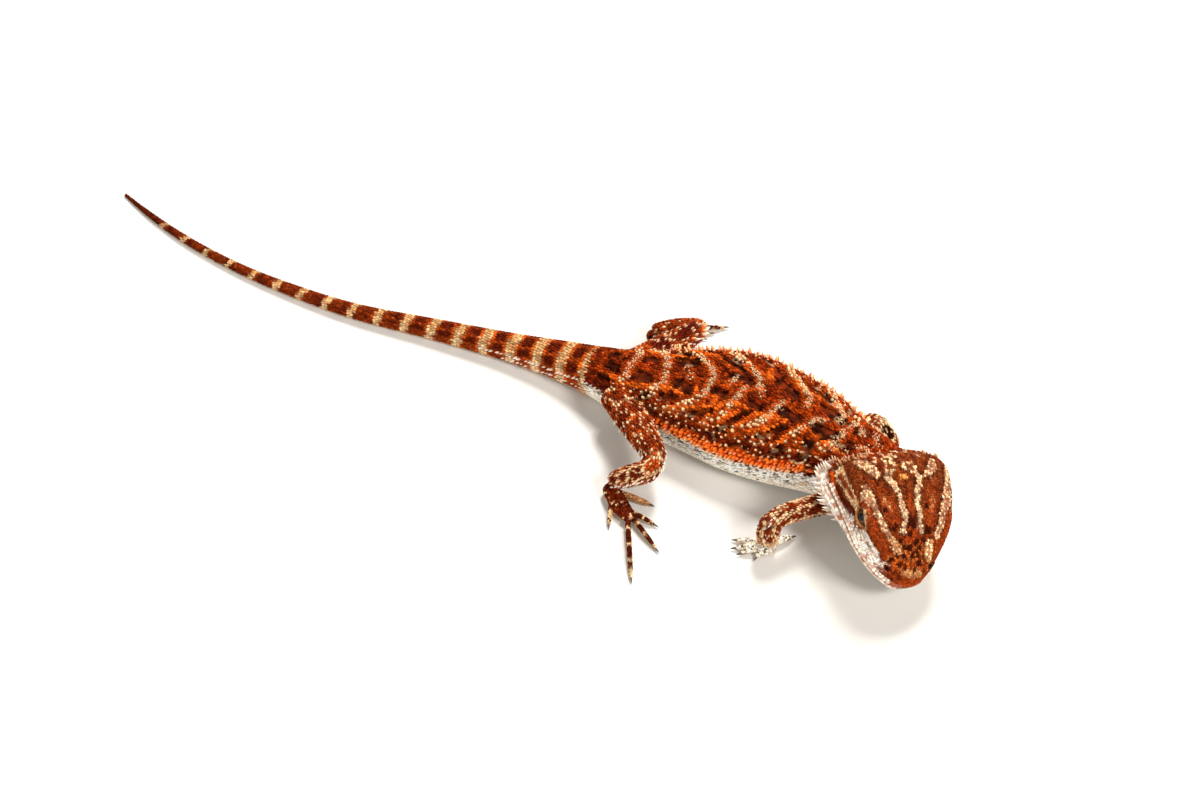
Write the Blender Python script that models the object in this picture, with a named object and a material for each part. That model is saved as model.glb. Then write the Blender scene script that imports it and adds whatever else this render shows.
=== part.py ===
"""A young bearded dragon lying at rest, life size, with its head turned to its right.

The body is one smooth animal parted into named pieces: four lengths of tail, torso, neck, head,
lower jaw, two eyes, and three pieces to each leg. The tables are in millimetres in the frame of
the trunk: +X runs from hips to shoulders, +Y is the animal's left, and the floor is at zero.
"""

import math

import bmesh
import bpy
import numpy as np
from mathutils.bvhtree import BVHTree

MM = 0.001
GAP = 0.3  # between two pieces that touch
MIDDLE = (-31.5, -3.73, 0.0)  # bottom centre of the whole animal, which is the origin of the part
FRINGE = 0.5  # reach of the low ridge that the side spines stand on
FRINGE_SPREAD = 0.22  # how wide that ridge is, as the sine of the turn from its middle
FRINGE_ENDS = (4.0, 18.0, 64.0, 76.0)  # where it starts, is full, fades and ends

# The tail lies on the floor, a little flattened under its own weight. Tip first: x, y, radius.
TAIL_SINK = 0.93
TAIL = (
    (-169.0, 38.5, 0.50),
    (-160.0, 33.9, 0.85),
    (-150.0, 29.4, 1.10),
    (-121.0, 20.4, 1.50),
    (-101.0, 17.0, 1.85),
    (-86.0, 15.4, 2.15),
    (-54.0, 15.4, 3.05),
    (-28.6, 15.0, 4.25),
    (-15.0, 14.1, 5.50),
)
# Trunk from the vent to inside the head: x, y, z of the fringe, half width, rise and depth.
TRUNK = (
    (-4.0, 12.4, 7.0, 6.9, 6.4, 7.3),
    (8.0, 10.4, 8.2, 9.8, 8.6, 8.6),
    (22.0, 9.8, 8.5, 14.2, 10.6, 9.0),
    (38.0, 9.6, 9.0, 17.7, 12.3, 9.4),
    (52.0, 7.0, 10.0, 17.0, 12.4, 9.8),
    (64.0, 3.4, 11.6, 14.2, 12.2, 10.0),
    (74.0, -1.8, 14.8, 11.0, 10.6, 10.4),
    (82.0, -6.4, 17.4, 10.0, 9.0, 10.0),
    (88.0, -10.0, 18.6, 8.0, 7.5, 8.0),
)
BACK_POWER = 2.2
BELLY_POWER = 4.5
BELLY_BULGE = 0.04  # the belly hangs out past the fringe by this part of the half width
TRUNK_SIDES = 28
TRUNK_STEP = 0.5  # step along the trunk over which its direction is read
TURN_STEP = 0.03
PATH_STEPS = 2000  # steps in which a path's length is measured
# Pieces along the trunk: where each starts and ends, its number of rings and of sides.
LENGTHS = {
    "tail_4": (-169.0, -121.0, 12, 8),
    "tail_3": (-121.0, -76.0, 9, 10),
    "tail_2": (-76.0, -36.0, 9, 12),
    "tail_1": (-36.0, -6.0, 8, 16),
    "torso": (-6.0, 66.0, 19, TRUNK_SIDES),
    "neck": (66.0, 88.0, 8, TRUNK_SIDES),
}

# Head: turned, pitched down and rolled to its left, with its origin on the back of the crown.
HEAD_ORIGIN = (86.6, -3.0, 30.2)
HEAD_YAW = -64.2
HEAD_PITCH = 17.0
HEAD_ROLL = 18.0
HEAD_SCALE = 1.045
# Half sections along the head: x, crown height, then brow, temple, upper lip, cheek and jaw edge
# as side and height, and the throat's height.
HEAD = (
    (-0.8, -8.6, 5.2, -9.4, 7.2, -11.2, 8.2, -13.0, 8.0, -15.5, 5.2, -18.3, -19.0),
    (0.2, -5.6, 8.2, -7.2, 10.8, -10.0, 12.2, -13.0, 12.4, -16.4, 8.0, -20.6, -21.6),
    (1.8, -2.8, 10.4, -4.6, 12.9, -8.1, 14.6, -12.2, 15.2, -16.0, 10.0, -21.4, -22.9),
    (4.0, -0.8, 12.2, -2.3, 14.4, -6.3, 16.0, -11.3, 17.0, -15.3, 11.4, -21.8, -23.0),
    (6.0, 0.0, 13.2, -1.6, 14.9, -5.5, 16.2, -11.0, 17.6, -15.0, 11.7, -21.3, -22.5),
    (9.5, 0.2, 13.6, -1.3, 14.8, -4.8, 15.8, -10.5, 17.2, -14.5, 11.6, -20.4, -21.5),
    (13.5, 0.2, 13.5, -1.0, 14.2, -4.4, 15.0, -10.0, 16.0, -13.8, 11.2, -18.8, -19.8),
    (17.0, 0.0, 13.0, -0.9, 13.4, -4.4, 14.4, -9.6, 15.0, -12.8, 10.6, -17.2, -18.0),
    (20.5, -0.3, 12.3, -1.0, 12.6, -4.4, 13.8, -9.2, 13.9, -12.2, 9.8, -16.0, -16.6),
    (24.0, -0.9, 11.0, -1.7, 11.7, -4.8, 13.1, -9.2, 12.9, -12.0, 9.0, -15.0, -15.4),
    (28.0, -2.1, 8.8, -3.0, 9.9, -5.5, 11.4, -9.4, 11.1, -11.9, 7.8, -14.3, -14.6),
    (32.0, -3.8, 6.1, -4.7, 7.4, -6.6, 8.8, -9.8, 8.5, -12.0, 5.9, -13.9, -14.1),
    (34.8, -5.6, 3.9, -6.3, 4.9, -7.8, 6.0, -10.1, 5.7, -12.1, 3.9, -13.6, -13.7),
    (36.4, -7.4, 2.0, -7.8, 2.7, -8.8, 3.4, -10.4, 3.2, -12.1, 2.1, -13.1, -13.2),
    (37.0, -9.3, 0.7, -9.4, 0.9, -9.9, 1.1, -10.6, 1.0, -11.4, 0.7, -12.0, -12.1),
)
HEAD_SIDES = 36
HEAD_RINGS = 20
HEAD_STEPS = (0.3, 0.01)  # steps in x and turn over which the skin's directions are read
LOOP_LAP = 3  # points by which a closed section runs on at each end before its cubic is fitted
HEAD_CENTRE = -11.0  # height of the middle of a head section
# Mouth line on the side of the head: x and height. Behind its corner the jaw ends on a slant.
MOUTH = ((44.0, -10.9), (33.0, -10.7), (26.0, -10.3), (20.0, -10.3), (14.0, -10.9), (9.0, -11.6))
MOUTH_CORNER = (6.6, -11.9)
JAW_HEEL = (3.5, -27.0)
JAW_BLOCK = 24.0
EYE_PLACE = (18.6, 10.5, -4.1)
EYE_RADIUS = 2.9
EYE_SIDES = 14
LID_THICKNESS = 0.6
LID_SIDES = 16
LID_OPENING = (2.5, 2.4, 1.0)
OPENING_RISE = 0.2  # height of the opening's middle over the eye's
OPENING_SIDES = 12
EAR_PLACE = (3.9, 16.0, -8.8)
EAR_SIZE = (1.3, 1.6, 1.8)
EAR_SIDES = 10
NOSTRIL_PLACE = (32.6, 6.4, -6.2)
NOSTRIL_SIZE = (0.7, 0.6, 0.5)
NOSTRIL_SIDES = 8

# Legs: root in the trunk, two points round the elbow or knee, and the wrist or ankle.
LIMB_POINTS = {
    "front_right": ((74.5, -12.0, 9.0), (60.2, -24.8, 13.2), (57.9, -27.7, 11.8), (57.6, -28.2, 2.9)),
    "front_left": ((69.0, 4.0, 9.5), (77.0, 14.4, 11.6), (79.8, 15.0, 9.8), (84.4, 12.6, 2.9)),
    "hind_right": ((4.0, 4.0, 9.5), (21.0, -14.8, 11.8), (21.0, -19.4, 10.4), (9.8, -22.6, 4.4)),
    "hind_left": ((5.0, 13.0, 9.5), (20.4, 31.4, 11.2), (19.6, 35.6, 6.9), (6.4, 32.2, 4.6)),
}
# Side direction of a limb's sections at those points.
LIMB_SIDES = {
    "front_right": ((0, 0, 1), (-0.9, 0.3, 0.2), (-0.9, 0.3, 0), (-1, 0, 0)),
    "front_left": ((0, 0, 1), (-0.5, 0.8, 0.2), (0.7, 0.7, 0), (0.7, 0.7, 0)),
    "hind_right": ((0, 0, 1), (0, 0, 1), (0, 0, 1), (0, 0, 1)),
    "hind_left": ((0, 0, 1), (-0.3, 0.4, 0.9), (-0.4, 0.9, 0.4), (0, 0, 1)),
}
BEND_CUT = 3.2  # how far from a bend its rounding starts
BEND_MIDDLE = 1.5  # elbow or knee, between the second and third points
# Parts of the way from point to point, with the half width and half thickness there.
LIMB_WAY = (0.0, 0.6, 1.0, 2.0, 2.5, 3.0)
LIMB_SIZES = {
    "front": ((3.2, 3.2), (3.0, 3.0), (2.8, 2.8), (3.1, 2.9), (3.3, 2.9), (2.8, 2.3)),
    "hind": ((5.0, 5.4), (4.0, 4.6), (3.2, 3.4), (3.2, 3.2), (3.2, 3.1), (2.2, 2.2)),
}
LIMB_NAMES = {"front": ("upper_arm", "forearm", "hand"), "hind": ("thigh", "shin", "foot")}
LIMB_COUNT = 8
LIMB_RING = 12
LIMB_STEP = 0.02
# Hands and feet: heel and the roots of the toes, then half width and thickness from end to end.
PAW_POINTS = {
    "front_right": ((59.4, -26.4, 1.7), (55.2, -30.8, 1.4)),
    "front_left": ((83.6, 14.4, 1.7), (87.8, 9.0, 1.4)),
    "hind_right": ((8.6, -22.4, 2.5), (18.8, -31.8, 1.5)),
    "hind_left": ((4.8, 31.0, 2.4), (16.0, 37.4, 1.5)),
}
PAW_SIZES = {
    "front": ((0.0, 2.7, 1.7), (0.5, 3.1, 1.8), (1.0, 2.7, 1.3)),
    "hind": ((0.0, 2.5, 2.4), (0.5, 2.7, 2.0), (1.0, 2.6, 1.2)),
}
PAW_COUNT = 8
PAW_ENDS = (0.1, 0.9)  # parts of a half turn from which the rings of a paw are spaced
PAW_ROUNDING = 4
PAW_LIFT = 0.3  # the toes carry the weight, and the sole stays this far off the floor
# Digits from the outer one to the inner one: root and tip on the floor, and their radii.
DIGITS = {
    "front_right": (
        (56.2, -27.8, 49.2, -28.8, 0.90),
        (56.0, -29.2, 49.6, -31.4, 0.90),
        (56.2, -29.8, 51.6, -32.6, 0.85),
        (57.0, -29.8, 56.0, -32.4, 0.80),
        (58.8, -27.4, 63.8, -23.4, 1.05),
    ),
    "front_left": (
        (87.2, 11.6, 92.6, 10.6, 0.70),
        (87.8, 10.6, 96.6, 6.8, 0.80),
        (88.0, 10.0, 97.2, 2.6, 0.80),
        (87.0, 10.0, 93.0, -0.6, 0.75),
        (86.0, 11.0, 86.6, 3.4, 0.75),
    ),
    "hind_right": (
        (11.4, -25.6, 13.2, -34.4, 0.80),
        (17.6, -31.0, 24.2, -49.4, 0.85),
        (18.6, -30.4, 28.2, -38.2, 0.80),
        (18.2, -29.0, 25.4, -30.6, 0.80),
        (12.8, -23.8, 22.4, -24.6, 1.00),
    ),
    "hind_left": (
        (7.6, 33.0, 9.2, 38.6, 0.75),
        (14.6, 37.6, 26.2, 42.8, 0.85),
        (15.4, 36.8, 22.6, 39.4, 0.85),
        (15.0, 35.6, 21.0, 36.8, 0.80),
        (12.6, 34.0, 18.4, 33.2, 0.80),
    ),
}
DIGIT_RING = 5
DIGIT_RISE = 1.5  # height of a digit's root
KNUCKLE_RISE = 1.0
TIP_RISE = 0.75  # height of a digit's tip over the floor, as a part of its radius
# Parts of the way along a digit, with its thickness there as a part of its radius.
DIGIT_WAY = (0.0, 0.3, 0.6, 0.85, 1.0)
DIGIT_THICK = (1.05, 1.0, 0.95, 0.85, 0.55)
CLAW_LENGTH = 1.7
# Middle and end of a claw: part of its length, rise over the digit's tip and radius.
CLAW_ROWS = ((0.5, 0.05, 0.32), (1.0, -0.35, 0.08))
CLAW_FLOOR = 0.12

# Spines are five-sided cones, sunk into the skin and kept clear of the other pieces.
SPINE_SIDES = 5
SPINE_SINK = 0.9
SPINE_JITTER = 0.12  # part by which length and place vary
SPINE_SEED = 7
SPINE_TWIST = (0.36, 0.48, 0.8)  # a direction that no spine has, from which its corners are turned
SPINE_PROBES = (0.0, 0.35, 0.7, 1.0)  # parts of a spine's length where its clearance is measured
# Rows along the trunk on both sides: first and last x, count, degrees round from the left fringe,
# length, root radius and lean back in degrees.
TRUNK_ROWS = (
    (12.0, 66.0, 27, 2.0, 1.8, 0.55, 32.0),
    (15.0, 64.0, 22, -9.0, 1.3, 0.50, 30.0),
    (67.0, 78.0, 6, 6.0, 1.6, 0.50, 40.0),
    (67.0, 76.0, 5, 32.0, 1.2, 0.45, 48.0),
    (-30.0, 6.0, 14, 12.0, 1.3, 0.45, 50.0),
)
# Chevrons of pale tubercles over the back: x at the midline, and how far back their arms have
# swept at 50 degrees to either side.
CHEVRONS = ((6.8, 1.2), (17.4, 3.0), (31.0, 7.5), (44.0, 12.0), (57.0, 12.5), (68.0, 5.0))
SWEEP_TURN = 50.0
CHEVRON_TURNS = (7.0, 15.0, 23.0, 31.0, 40.0, 50.0, 61.0)
TUBERCLE = (0.65, 0.62, 12.0)  # height, radius and lean
# Rows on both sides of the head: first and last x, first and last turn from crown to throat,
# count, length, root radius and lean back.
HEAD_ROWS = (
    (3.0, 17.0, 0.66, 0.70, 9, 2.1, 0.55, 52.0),
    (2.2, 15.0, 0.74, 0.79, 8, 2.1, 0.55, 55.0),
    (4.0, 13.0, 0.85, 0.90, 5, 1.7, 0.50, 60.0),
    (1.8, 2.2, 0.46, 0.66, 5, 2.0, 0.55, 20.0),
    (2.6, 3.0, 0.10, 0.36, 6, 1.3, 0.50, 35.0),
    (3.4, 5.6, 0.40, 0.42, 2, 1.5, 0.50, 55.0),
)
# Rows on the limbs: piece, side, parts of the way, degrees round the section, count, length, radius.
LIMB_ROWS = (
    ("hind_right", 0, 0.35, 1.0, 90.0, 6, 1.4, 0.45),
    ("hind_right", 1, 1.9, 2.7, 270.0, 5, 1.1, 0.40),
    ("hind_left", 0, 0.45, 1.0, 270.0, 5, 1.4, 0.45),
    ("hind_left", 1, 1.9, 2.7, 90.0, 5, 1.1, 0.40),
    ("front_right", 0, 0.55, 1.0, 90.0, 4, 1.0, 0.40),
    ("front_left", 0, 0.55, 1.0, 270.0, 3, 1.0, 0.40),
)
LIMB_LEAN = 35.0
LIP_RADIUS = 0.55
LIP_RISE = 0.75  # height of the lips' middles over and under the mouth line
LIP_BULGE = -0.2
LIP_SIDES = 5
LIP_COUNT = 9
LIP_ENDS = (0.6, 0.5)  # how far a lip starts ahead of the mouth's corner and ends short of the snout
LIP_TURNS = (0.2, 0.95)  # the part of a head section in which a lip is looked for
LIP_PROBES = 300
LIP_TAPER = 0.5
SNOUT_PULL = 0.3  # how far round the snout's tip the lips' outward way is turned forward
SHARP_ANGLE = 45.0

# Colour and roughness by the first word of a piece's name.
LOOKS = {
    "head": ((0.24, 0.055, 0.03), 0.6),
    "lower": ((0.66, 0.47, 0.38), 0.6),
    "neck": ((0.42, 0.11, 0.035), 0.7),
    "torso": ((0.47, 0.12, 0.025), 0.7),
    "tail": ((0.36, 0.10, 0.045), 0.7),
    "eye": ((0.02, 0.012, 0.01), 0.15),
    "upper": ((0.38, 0.10, 0.045), 0.7),
    "forearm": ((0.38, 0.10, 0.045), 0.7),
    "hand": ((0.62, 0.44, 0.33), 0.7),
    "thigh": ((0.40, 0.10, 0.035), 0.7),
    "shin": ((0.40, 0.10, 0.035), 0.7),
    "foot": ((0.30, 0.10, 0.05), 0.7),
}


def unit(vectors):
    return vectors / np.linalg.norm(vectors, axis=-1, keepdims=True)


def through(knots, rows, at):
    """A cubic through the rows at their knots, read at each value of at."""
    knots, rows, at = (np.asarray(v, float) for v in (knots, rows, at))
    slopes = np.gradient(rows, knots, axis=0)
    i = np.clip(np.searchsorted(knots, at, side="right") - 1, 0, len(knots) - 2)
    span = (knots[i + 1] - knots[i])[:, None]
    f = ((at - knots[i])[:, None] / span).clip(0, 1)
    start = (1 + 2 * f) * (1 - f) ** 2 * rows[i] + f * (1 - f) ** 2 * span * slopes[i]
    end = f**2 * (3 - 2 * f) * rows[i + 1] - f**2 * (1 - f) * span * slopes[i + 1]
    return start + end


def evenly(points, count):
    """Parts of a dense path's own parameter that lie at equal steps along its length."""
    walked = np.append(0, np.cumsum(np.linalg.norm(np.diff(points, axis=0), axis=1)))
    return np.interp(np.linspace(0, walked[-1], count), walked, np.arange(len(points)))


def new_object(name, points, faces):
    mesh = bpy.data.meshes.new(name)
    placed = (np.asarray(points) - MIDDLE) * MM
    mesh.from_pydata(placed.tolist(), [], faces)
    obj = bpy.data.objects.new(name, mesh)
    bpy.context.scene.collection.objects.link(obj)
    return obj


def loft(name, rings):
    """A closed skin over rings of points, each end closed by a fan on its middle."""
    count, sides = rings.shape[:2]
    points = np.vstack([rings.reshape(-1, 3), rings[0].mean(axis=0), rings[-1].mean(axis=0)])
    faces = []
    for i in range(count - 1):
        for j in range(sides):
            k = (j + 1) % sides
            faces.append((i * sides + j, i * sides + k, (i + 1) * sides + k, (i + 1) * sides + j))
    first, last = count * sides, count * sides + 1
    for j in range(sides):
        k = (j + 1) % sides
        faces.append((first, k, j))
        faces.append((last, (count - 1) * sides + j, (count - 1) * sides + k))
    obj = new_object(name, points, faces)
    face_outwards(obj.data)
    return obj


def face_outwards(mesh):
    work = bmesh.new()
    work.from_mesh(mesh)
    bmesh.ops.triangulate(work, faces=work.faces)
    if work.calc_volume(signed=True) < 0:
        bmesh.ops.reverse_faces(work, faces=work.faces)
    work.to_mesh(mesh)
    work.free()


def spheroid(name, centre, axes, radii, sides):
    """A closed egg shape about centre, with its radii along the rows of axes."""
    rings = []
    for v in np.linspace(-math.pi / 2, math.pi / 2, sides // 2 + 1)[1:-1]:
        turn = np.linspace(0, 2 * math.pi, sides, endpoint=False)
        level = np.stack([np.cos(turn), np.sin(turn)], 1) * math.cos(v)
        flat = np.column_stack([level, np.full(sides, math.sin(v))])
        rings.append(np.asarray(centre) + (flat * radii) @ np.asarray(axes))
    ball = loft(name, np.array(rings))
    poles = np.array([[0, 0, -1.0], [0, 0, 1.0]]) * radii @ np.asarray(axes) + centre
    for vertex, pole in zip(ball.data.vertices[-2:], poles):
        vertex.co = (pole - MIDDLE) * MM
    return ball


def combine(target, others, operation):
    """One Boolean of all the others on the target, applied, with the others removed."""
    group = bpy.data.collections.new("others")
    bpy.context.scene.collection.children.link(group)
    for other in others:
        group.objects.link(other)
    step = target.modifiers.new("combine", "BOOLEAN")
    step.operation = operation
    step.solver = "EXACT"
    step.operand_type = "COLLECTION"
    step.collection = group
    graph = bpy.context.evaluated_depsgraph_get()
    result = bpy.data.meshes.new_from_object(target.evaluated_get(graph))
    target.modifiers.clear()
    target.data = result
    for other in others:
        bpy.data.objects.remove(other)
    bpy.data.collections.remove(group)
    keep_largest(target.data)


def keep_largest(mesh):
    """Drops every closed surface of the mesh but the one that holds most."""
    work = bmesh.new()
    work.from_mesh(mesh)
    bmesh.ops.triangulate(work, faces=work.faces)
    left = set(work.verts)
    islands = []
    while left:
        island = set()
        front = [left.pop()]
        while front:
            vertex = front.pop()
            island.add(vertex)
            near = {edge.other_vert(vertex) for edge in vertex.link_edges} & left
            left -= near
            front.extend(near)
        islands.append(island)
    islands.sort(key=held_by, reverse=True)
    bmesh.ops.delete(work, geom=[v for island in islands[1:] for v in island], context="VERTS")
    work.to_mesh(mesh)
    work.free()


def held_by(island):
    faces = {face for vertex in island for face in vertex.link_faces}
    return sum(f.verts[0].co.dot(f.verts[1].co.cross(f.verts[2].co)) for f in faces)


def finish(obj, name, colour, roughness=0.7):
    """Names the piece, shades it smooth and gives it a material of its own."""
    obj.name = name
    obj.data.name = name
    obj.data.shade_smooth()
    obj.data.set_sharp_from_angle(angle=math.radians(SHARP_ANGLE))
    material = bpy.data.materials.new(name)
    material.use_nodes = True
    shader = material.node_tree.nodes["Principled BSDF"]
    shader.inputs["Base Color"].default_value = (*colour, 1.0)
    shader.inputs["Roughness"].default_value = roughness
    shader.inputs["Metallic"].default_value = 0.0
    obj.data.materials.clear()
    obj.data.materials.append(material)


def on_floor(rings):
    """Whatever would sink into the floor is pressed flat on it."""
    rings[..., 2] = np.maximum(rings[..., 2], 0.0)
    return rings


def trunk_table():
    tail = [(x, y, TAIL_SINK * r, r, r, r) for x, y, r in TAIL]
    rows = np.array(tail + list(TRUNK))
    steps = np.linalg.norm(np.diff(rows[:, :3], axis=0), axis=1)
    return np.append(0, np.cumsum(steps)), rows


def along_trunk(x):
    """Way along the trunk's middle line at which it passes x."""
    knots, rows = trunk_table()
    fine = np.linspace(0, knots[-1], PATH_STEPS)
    return np.interp(x, through(knots, rows, fine)[:, 0], fine)


def trunk_frames(way):
    """Middle, forward, left and up directions, and half sizes, at each way along the trunk."""
    knots, rows = trunk_table()
    here = through(knots, rows, way)
    ahead = through(knots, rows, way + TRUNK_STEP) - through(knots, rows, way - TRUNK_STEP)
    forward = unit(ahead[:, :3])
    left = unit(np.cross([0, 0, 1.0], forward))
    return here[:, :3], forward, left, np.cross(forward, left), here[:, 3:]


def trunk_points(way, turn, grow=0.0, reach=None):
    """Skin points at turn round the section, from the left fringe over the back to the right."""
    middle, _, left, up, size = trunk_frames(way)
    power = np.where(np.sin(turn) > 0, BACK_POWER, BELLY_POWER)
    side = np.sign(np.cos(turn)) * np.abs(np.cos(turn)) ** (2 / power)
    side = side * (1 + BELLY_BULGE * (-2 * np.sin(turn)).clip(0, 1))
    rise = np.abs(np.sin(turn)) ** (2 / power)
    width = size[:, 0:1] + grow
    if reach is not None:
        width = width + reach[:, None] * np.exp(-((np.sin(turn) / FRINGE_SPREAD) ** 2))
    height = np.where(np.sin(turn) > 0, size[:, 1:2] + grow, -size[:, 2:3] - grow) * rise
    return middle[:, None] + left[:, None] * (width * side)[..., None] + up[:, None] * height[..., None]


def trunk_piece(name, grow=0.0):
    start, end, count, sides = LENGTHS[name]
    ways = along_trunk([start, end])
    forward = trunk_frames(ways)[1]
    steps = np.linspace(ways[0], ways[1], count)
    turn = np.linspace(0, 2 * math.pi, sides, endpoint=False)[None]
    rings = trunk_points(steps, turn, grow, fringe_reach(steps))
    if start > TAIL[0][0]:
        rings[0] += forward[0] * (GAP / 2 - grow)
    if end < TRUNK[-1][0]:
        rings[-1] -= forward[1] * (GAP / 2 - grow)
    return loft(name, on_floor(rings))


def fringe_reach(way):
    """The fringe rises from nothing at the hips and dies out at the neck."""
    return FRINGE * np.interp(way, along_trunk(FRINGE_ENDS), [0, 1, 1, 0])


def head_axes():
    """Forward, left and up of the head."""
    yaw, pitch, roll = (math.radians(a) for a in (HEAD_YAW, HEAD_PITCH, HEAD_ROLL))
    forward = np.array([math.cos(yaw) * math.cos(pitch), math.sin(yaw) * math.cos(pitch), -math.sin(pitch)])
    level = np.array([-math.sin(yaw), math.cos(yaw), 0])
    upright = np.cross(forward, level)
    left = level * math.cos(roll) - upright * math.sin(roll)
    up = upright * math.cos(roll) + level * math.sin(roll)
    return np.array([forward, left, up])


def from_head(points):
    return np.asarray(points, float) * HEAD_SCALE @ head_axes() + HEAD_ORIGIN


def head_section(x, turn):
    """Side and height of the head's skin at x, by turn from 0 on the crown to 1 under the throat."""
    row = through([r[0] for r in HEAD], [r[1:] for r in HEAD], np.atleast_1d(x))[0]
    side = np.array([0, row[1], row[3], row[5], row[7], row[9], 0])
    height = np.array([row[0], row[2], row[4], row[6], row[8], row[10], row[11]])
    loop = np.stack([np.append(side, -side[-2:0:-1]), np.append(height, height[-2:0:-1])], 1)
    knots = np.arange(-LOOP_LAP, len(loop) + LOOP_LAP + 1)
    return through(knots, loop[knots % len(loop)], np.atleast_1d(turn) * (len(side) - 1))


def head_piece(name, grow=0.0):
    ends = HEAD[0][0], HEAD[-1][0]
    middle = (ends[0] + ends[1]) / 2
    swing = np.linspace(math.pi, 0, HEAD_RINGS)
    rings = []
    for x in middle + (ends[1] - ends[0]) / 2 * np.cos(swing):
        flat = head_section(x, np.arange(HEAD_SIDES) * 2 / HEAD_SIDES)
        outwards = unit(flat - [0, HEAD_CENTRE])
        flat = flat + outwards * grow
        shift = grow * (1 if x == ends[1] else -1 if x == ends[0] else 0)
        rings.append(np.column_stack([np.full(len(flat), x + shift), flat]))
    return loft(name, from_head(np.array(rings)))


def mirrored(place, side):
    return np.array([place[0], side * place[1], place[2]])


def head_spheroid(name, place, side, radii, sides):
    axes = head_axes() * HEAD_SCALE
    axes[1] *= side
    return spheroid(name, from_head(mirrored(place, side)), axes, radii, sides)


def jaw_block(shift):
    """A block that holds the lower jaw: below the mouth line and ahead of the slant to the throat."""
    outline = [(x, z + shift) for x, z in MOUTH]
    outline.append((MOUTH_CORNER[0] - shift, MOUTH_CORNER[1] + shift))
    outline.append((JAW_HEEL[0] - shift, JAW_HEEL[1]))
    outline.append((MOUTH[0][0], JAW_HEEL[1]))
    sides = [[(x, y, z) for x, z in outline] for y in (-JAW_BLOCK, JAW_BLOCK)]
    return loft("jaw_block", from_head(np.array(sides)))


def mouth_height(x):
    """Height of the mouth line at x, level behind the last point of its table."""
    table = np.array(MOUTH[::-1])
    return np.interp(x, table[:, 0], table[:, 1])


def lip(rise):
    """A thin roll along the mouth line, from one corner round the snout to the other."""
    steps = np.linspace(MOUTH_CORNER[0] + LIP_ENDS[0], HEAD[-1][0] - LIP_ENDS[1], LIP_COUNT)
    turn = np.linspace(*LIP_TURNS, LIP_PROBES)
    path = []
    for x in steps:
        flat = head_section(x, turn)
        wanted = mouth_height(x) + rise
        path.append((x, *flat[np.argmin(np.abs(flat[:, 1] - wanted))]))
    right = np.array(path)
    middle = np.vstack([right * [1, -1, 1], right[::-1]])
    outwards = unit(middle * [0, 1, 0] + [SNOUT_PULL, 0, 0])
    middle = middle + outwards * LIP_BULGE
    forward = unit(np.gradient(middle, axis=0))
    side = unit(np.cross([0, 0, 1.0], forward))
    size = np.full((len(middle), 2), LIP_RADIUS)
    size[[0, -1]] *= LIP_TAPER
    return loft("lip", from_head(ovals(middle, side, np.cross(forward, side), size, LIP_SIDES)))


def head_pieces():
    """Head and lower jaw, parted along the mouth, and the two eyes in their sockets."""
    head = head_piece("head")
    lids = [lip(LIP_RISE), lip(-LIP_RISE)]
    sockets = []
    eyes = {}
    for side, word in ((1, "left"), (-1, "right")):
        outer = EYE_RADIUS + GAP + LID_THICKNESS
        lids.append(head_spheroid("lid", EYE_PLACE, side, (outer,) * 3, LID_SIDES))
        sockets.append(head_spheroid("socket", EYE_PLACE, side, (EYE_RADIUS + GAP,) * 3, LID_SIDES))
        slit = (EYE_PLACE[0], EYE_PLACE[1] + outer, EYE_PLACE[2] + OPENING_RISE)
        sockets.append(head_spheroid("slit", slit, side, LID_OPENING, OPENING_SIDES))
        sockets.append(head_spheroid("ear", EAR_PLACE, side, EAR_SIZE, EAR_SIDES))
        sockets.append(head_spheroid("nostril", NOSTRIL_PLACE, side, NOSTRIL_SIZE, NOSTRIL_SIDES))
        eyes["eye_" + word] = head_spheroid("eye", EYE_PLACE, side, (EYE_RADIUS,) * 3, EYE_SIDES)
    combine(head, lids, "UNION")
    combine(head, sockets, "DIFFERENCE")
    jaw = head.copy()
    jaw.data = head.data.copy()
    bpy.context.scene.collection.objects.link(jaw)
    combine(jaw, [jaw_block(0.0)], "INTERSECT")
    combine(head, [jaw_block(GAP)], "DIFFERENCE")
    return {"head": head, "lower_jaw": jaw, **eyes}


def bent(points, at):
    """Straight runs from point to point, with every bend rounded by a parabola."""
    points = np.asarray(points, float)
    i = np.clip(np.floor(at).astype(int), 0, len(points) - 2)
    f = (at - i)[:, None]
    path = points[i] * (1 - f) + points[i + 1] * f
    for k in range(1, len(points) - 1):
        before, after = points[k] - points[k - 1], points[k + 1] - points[k]
        reach_in, reach_out = np.linalg.norm(before), np.linalg.norm(after)
        cut = min(BEND_CUT, reach_in / 2, reach_out / 2)
        low, high = k - cut / reach_in, k + cut / reach_out
        t = np.interp(at, [low, k, high], [0, 0.5, 1])[:, None]
        start, end = points[k] - before / reach_in * cut, points[k] + after / reach_out * cut
        curve = (1 - t) ** 2 * start + 2 * t * (1 - t) * points[k] + t**2 * end
        rounded = (at > low) & (at < high)
        path[rounded] = curve[rounded]
    return path


def limb_frames(name, at):
    """Middle, forward, side and up of the limb's section at parts of the way from point to point."""
    points = LIMB_POINTS[name]
    middle = bent(points, at)
    forward = unit(bent(points, at + LIMB_STEP) - bent(points, at - LIMB_STEP))
    knots = np.arange(len(points))
    poles = np.stack([np.interp(at, knots, axis) for axis in np.array(LIMB_SIDES[name], float).T], 1)
    side = unit(poles - forward * (poles * forward).sum(axis=1, keepdims=True))
    return middle, forward, side, np.cross(forward, side)


def ovals(middle, side, up, size, count):
    """Rings of an oval section, one for each row."""
    turn = np.linspace(0, 2 * math.pi, count, endpoint=False)
    across = side[:, None] * (size[:, 0:1] * np.cos(turn))[..., None]
    return middle[:, None] + across + up[:, None] * (size[:, 1:2] * np.sin(turn))[..., None]


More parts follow.
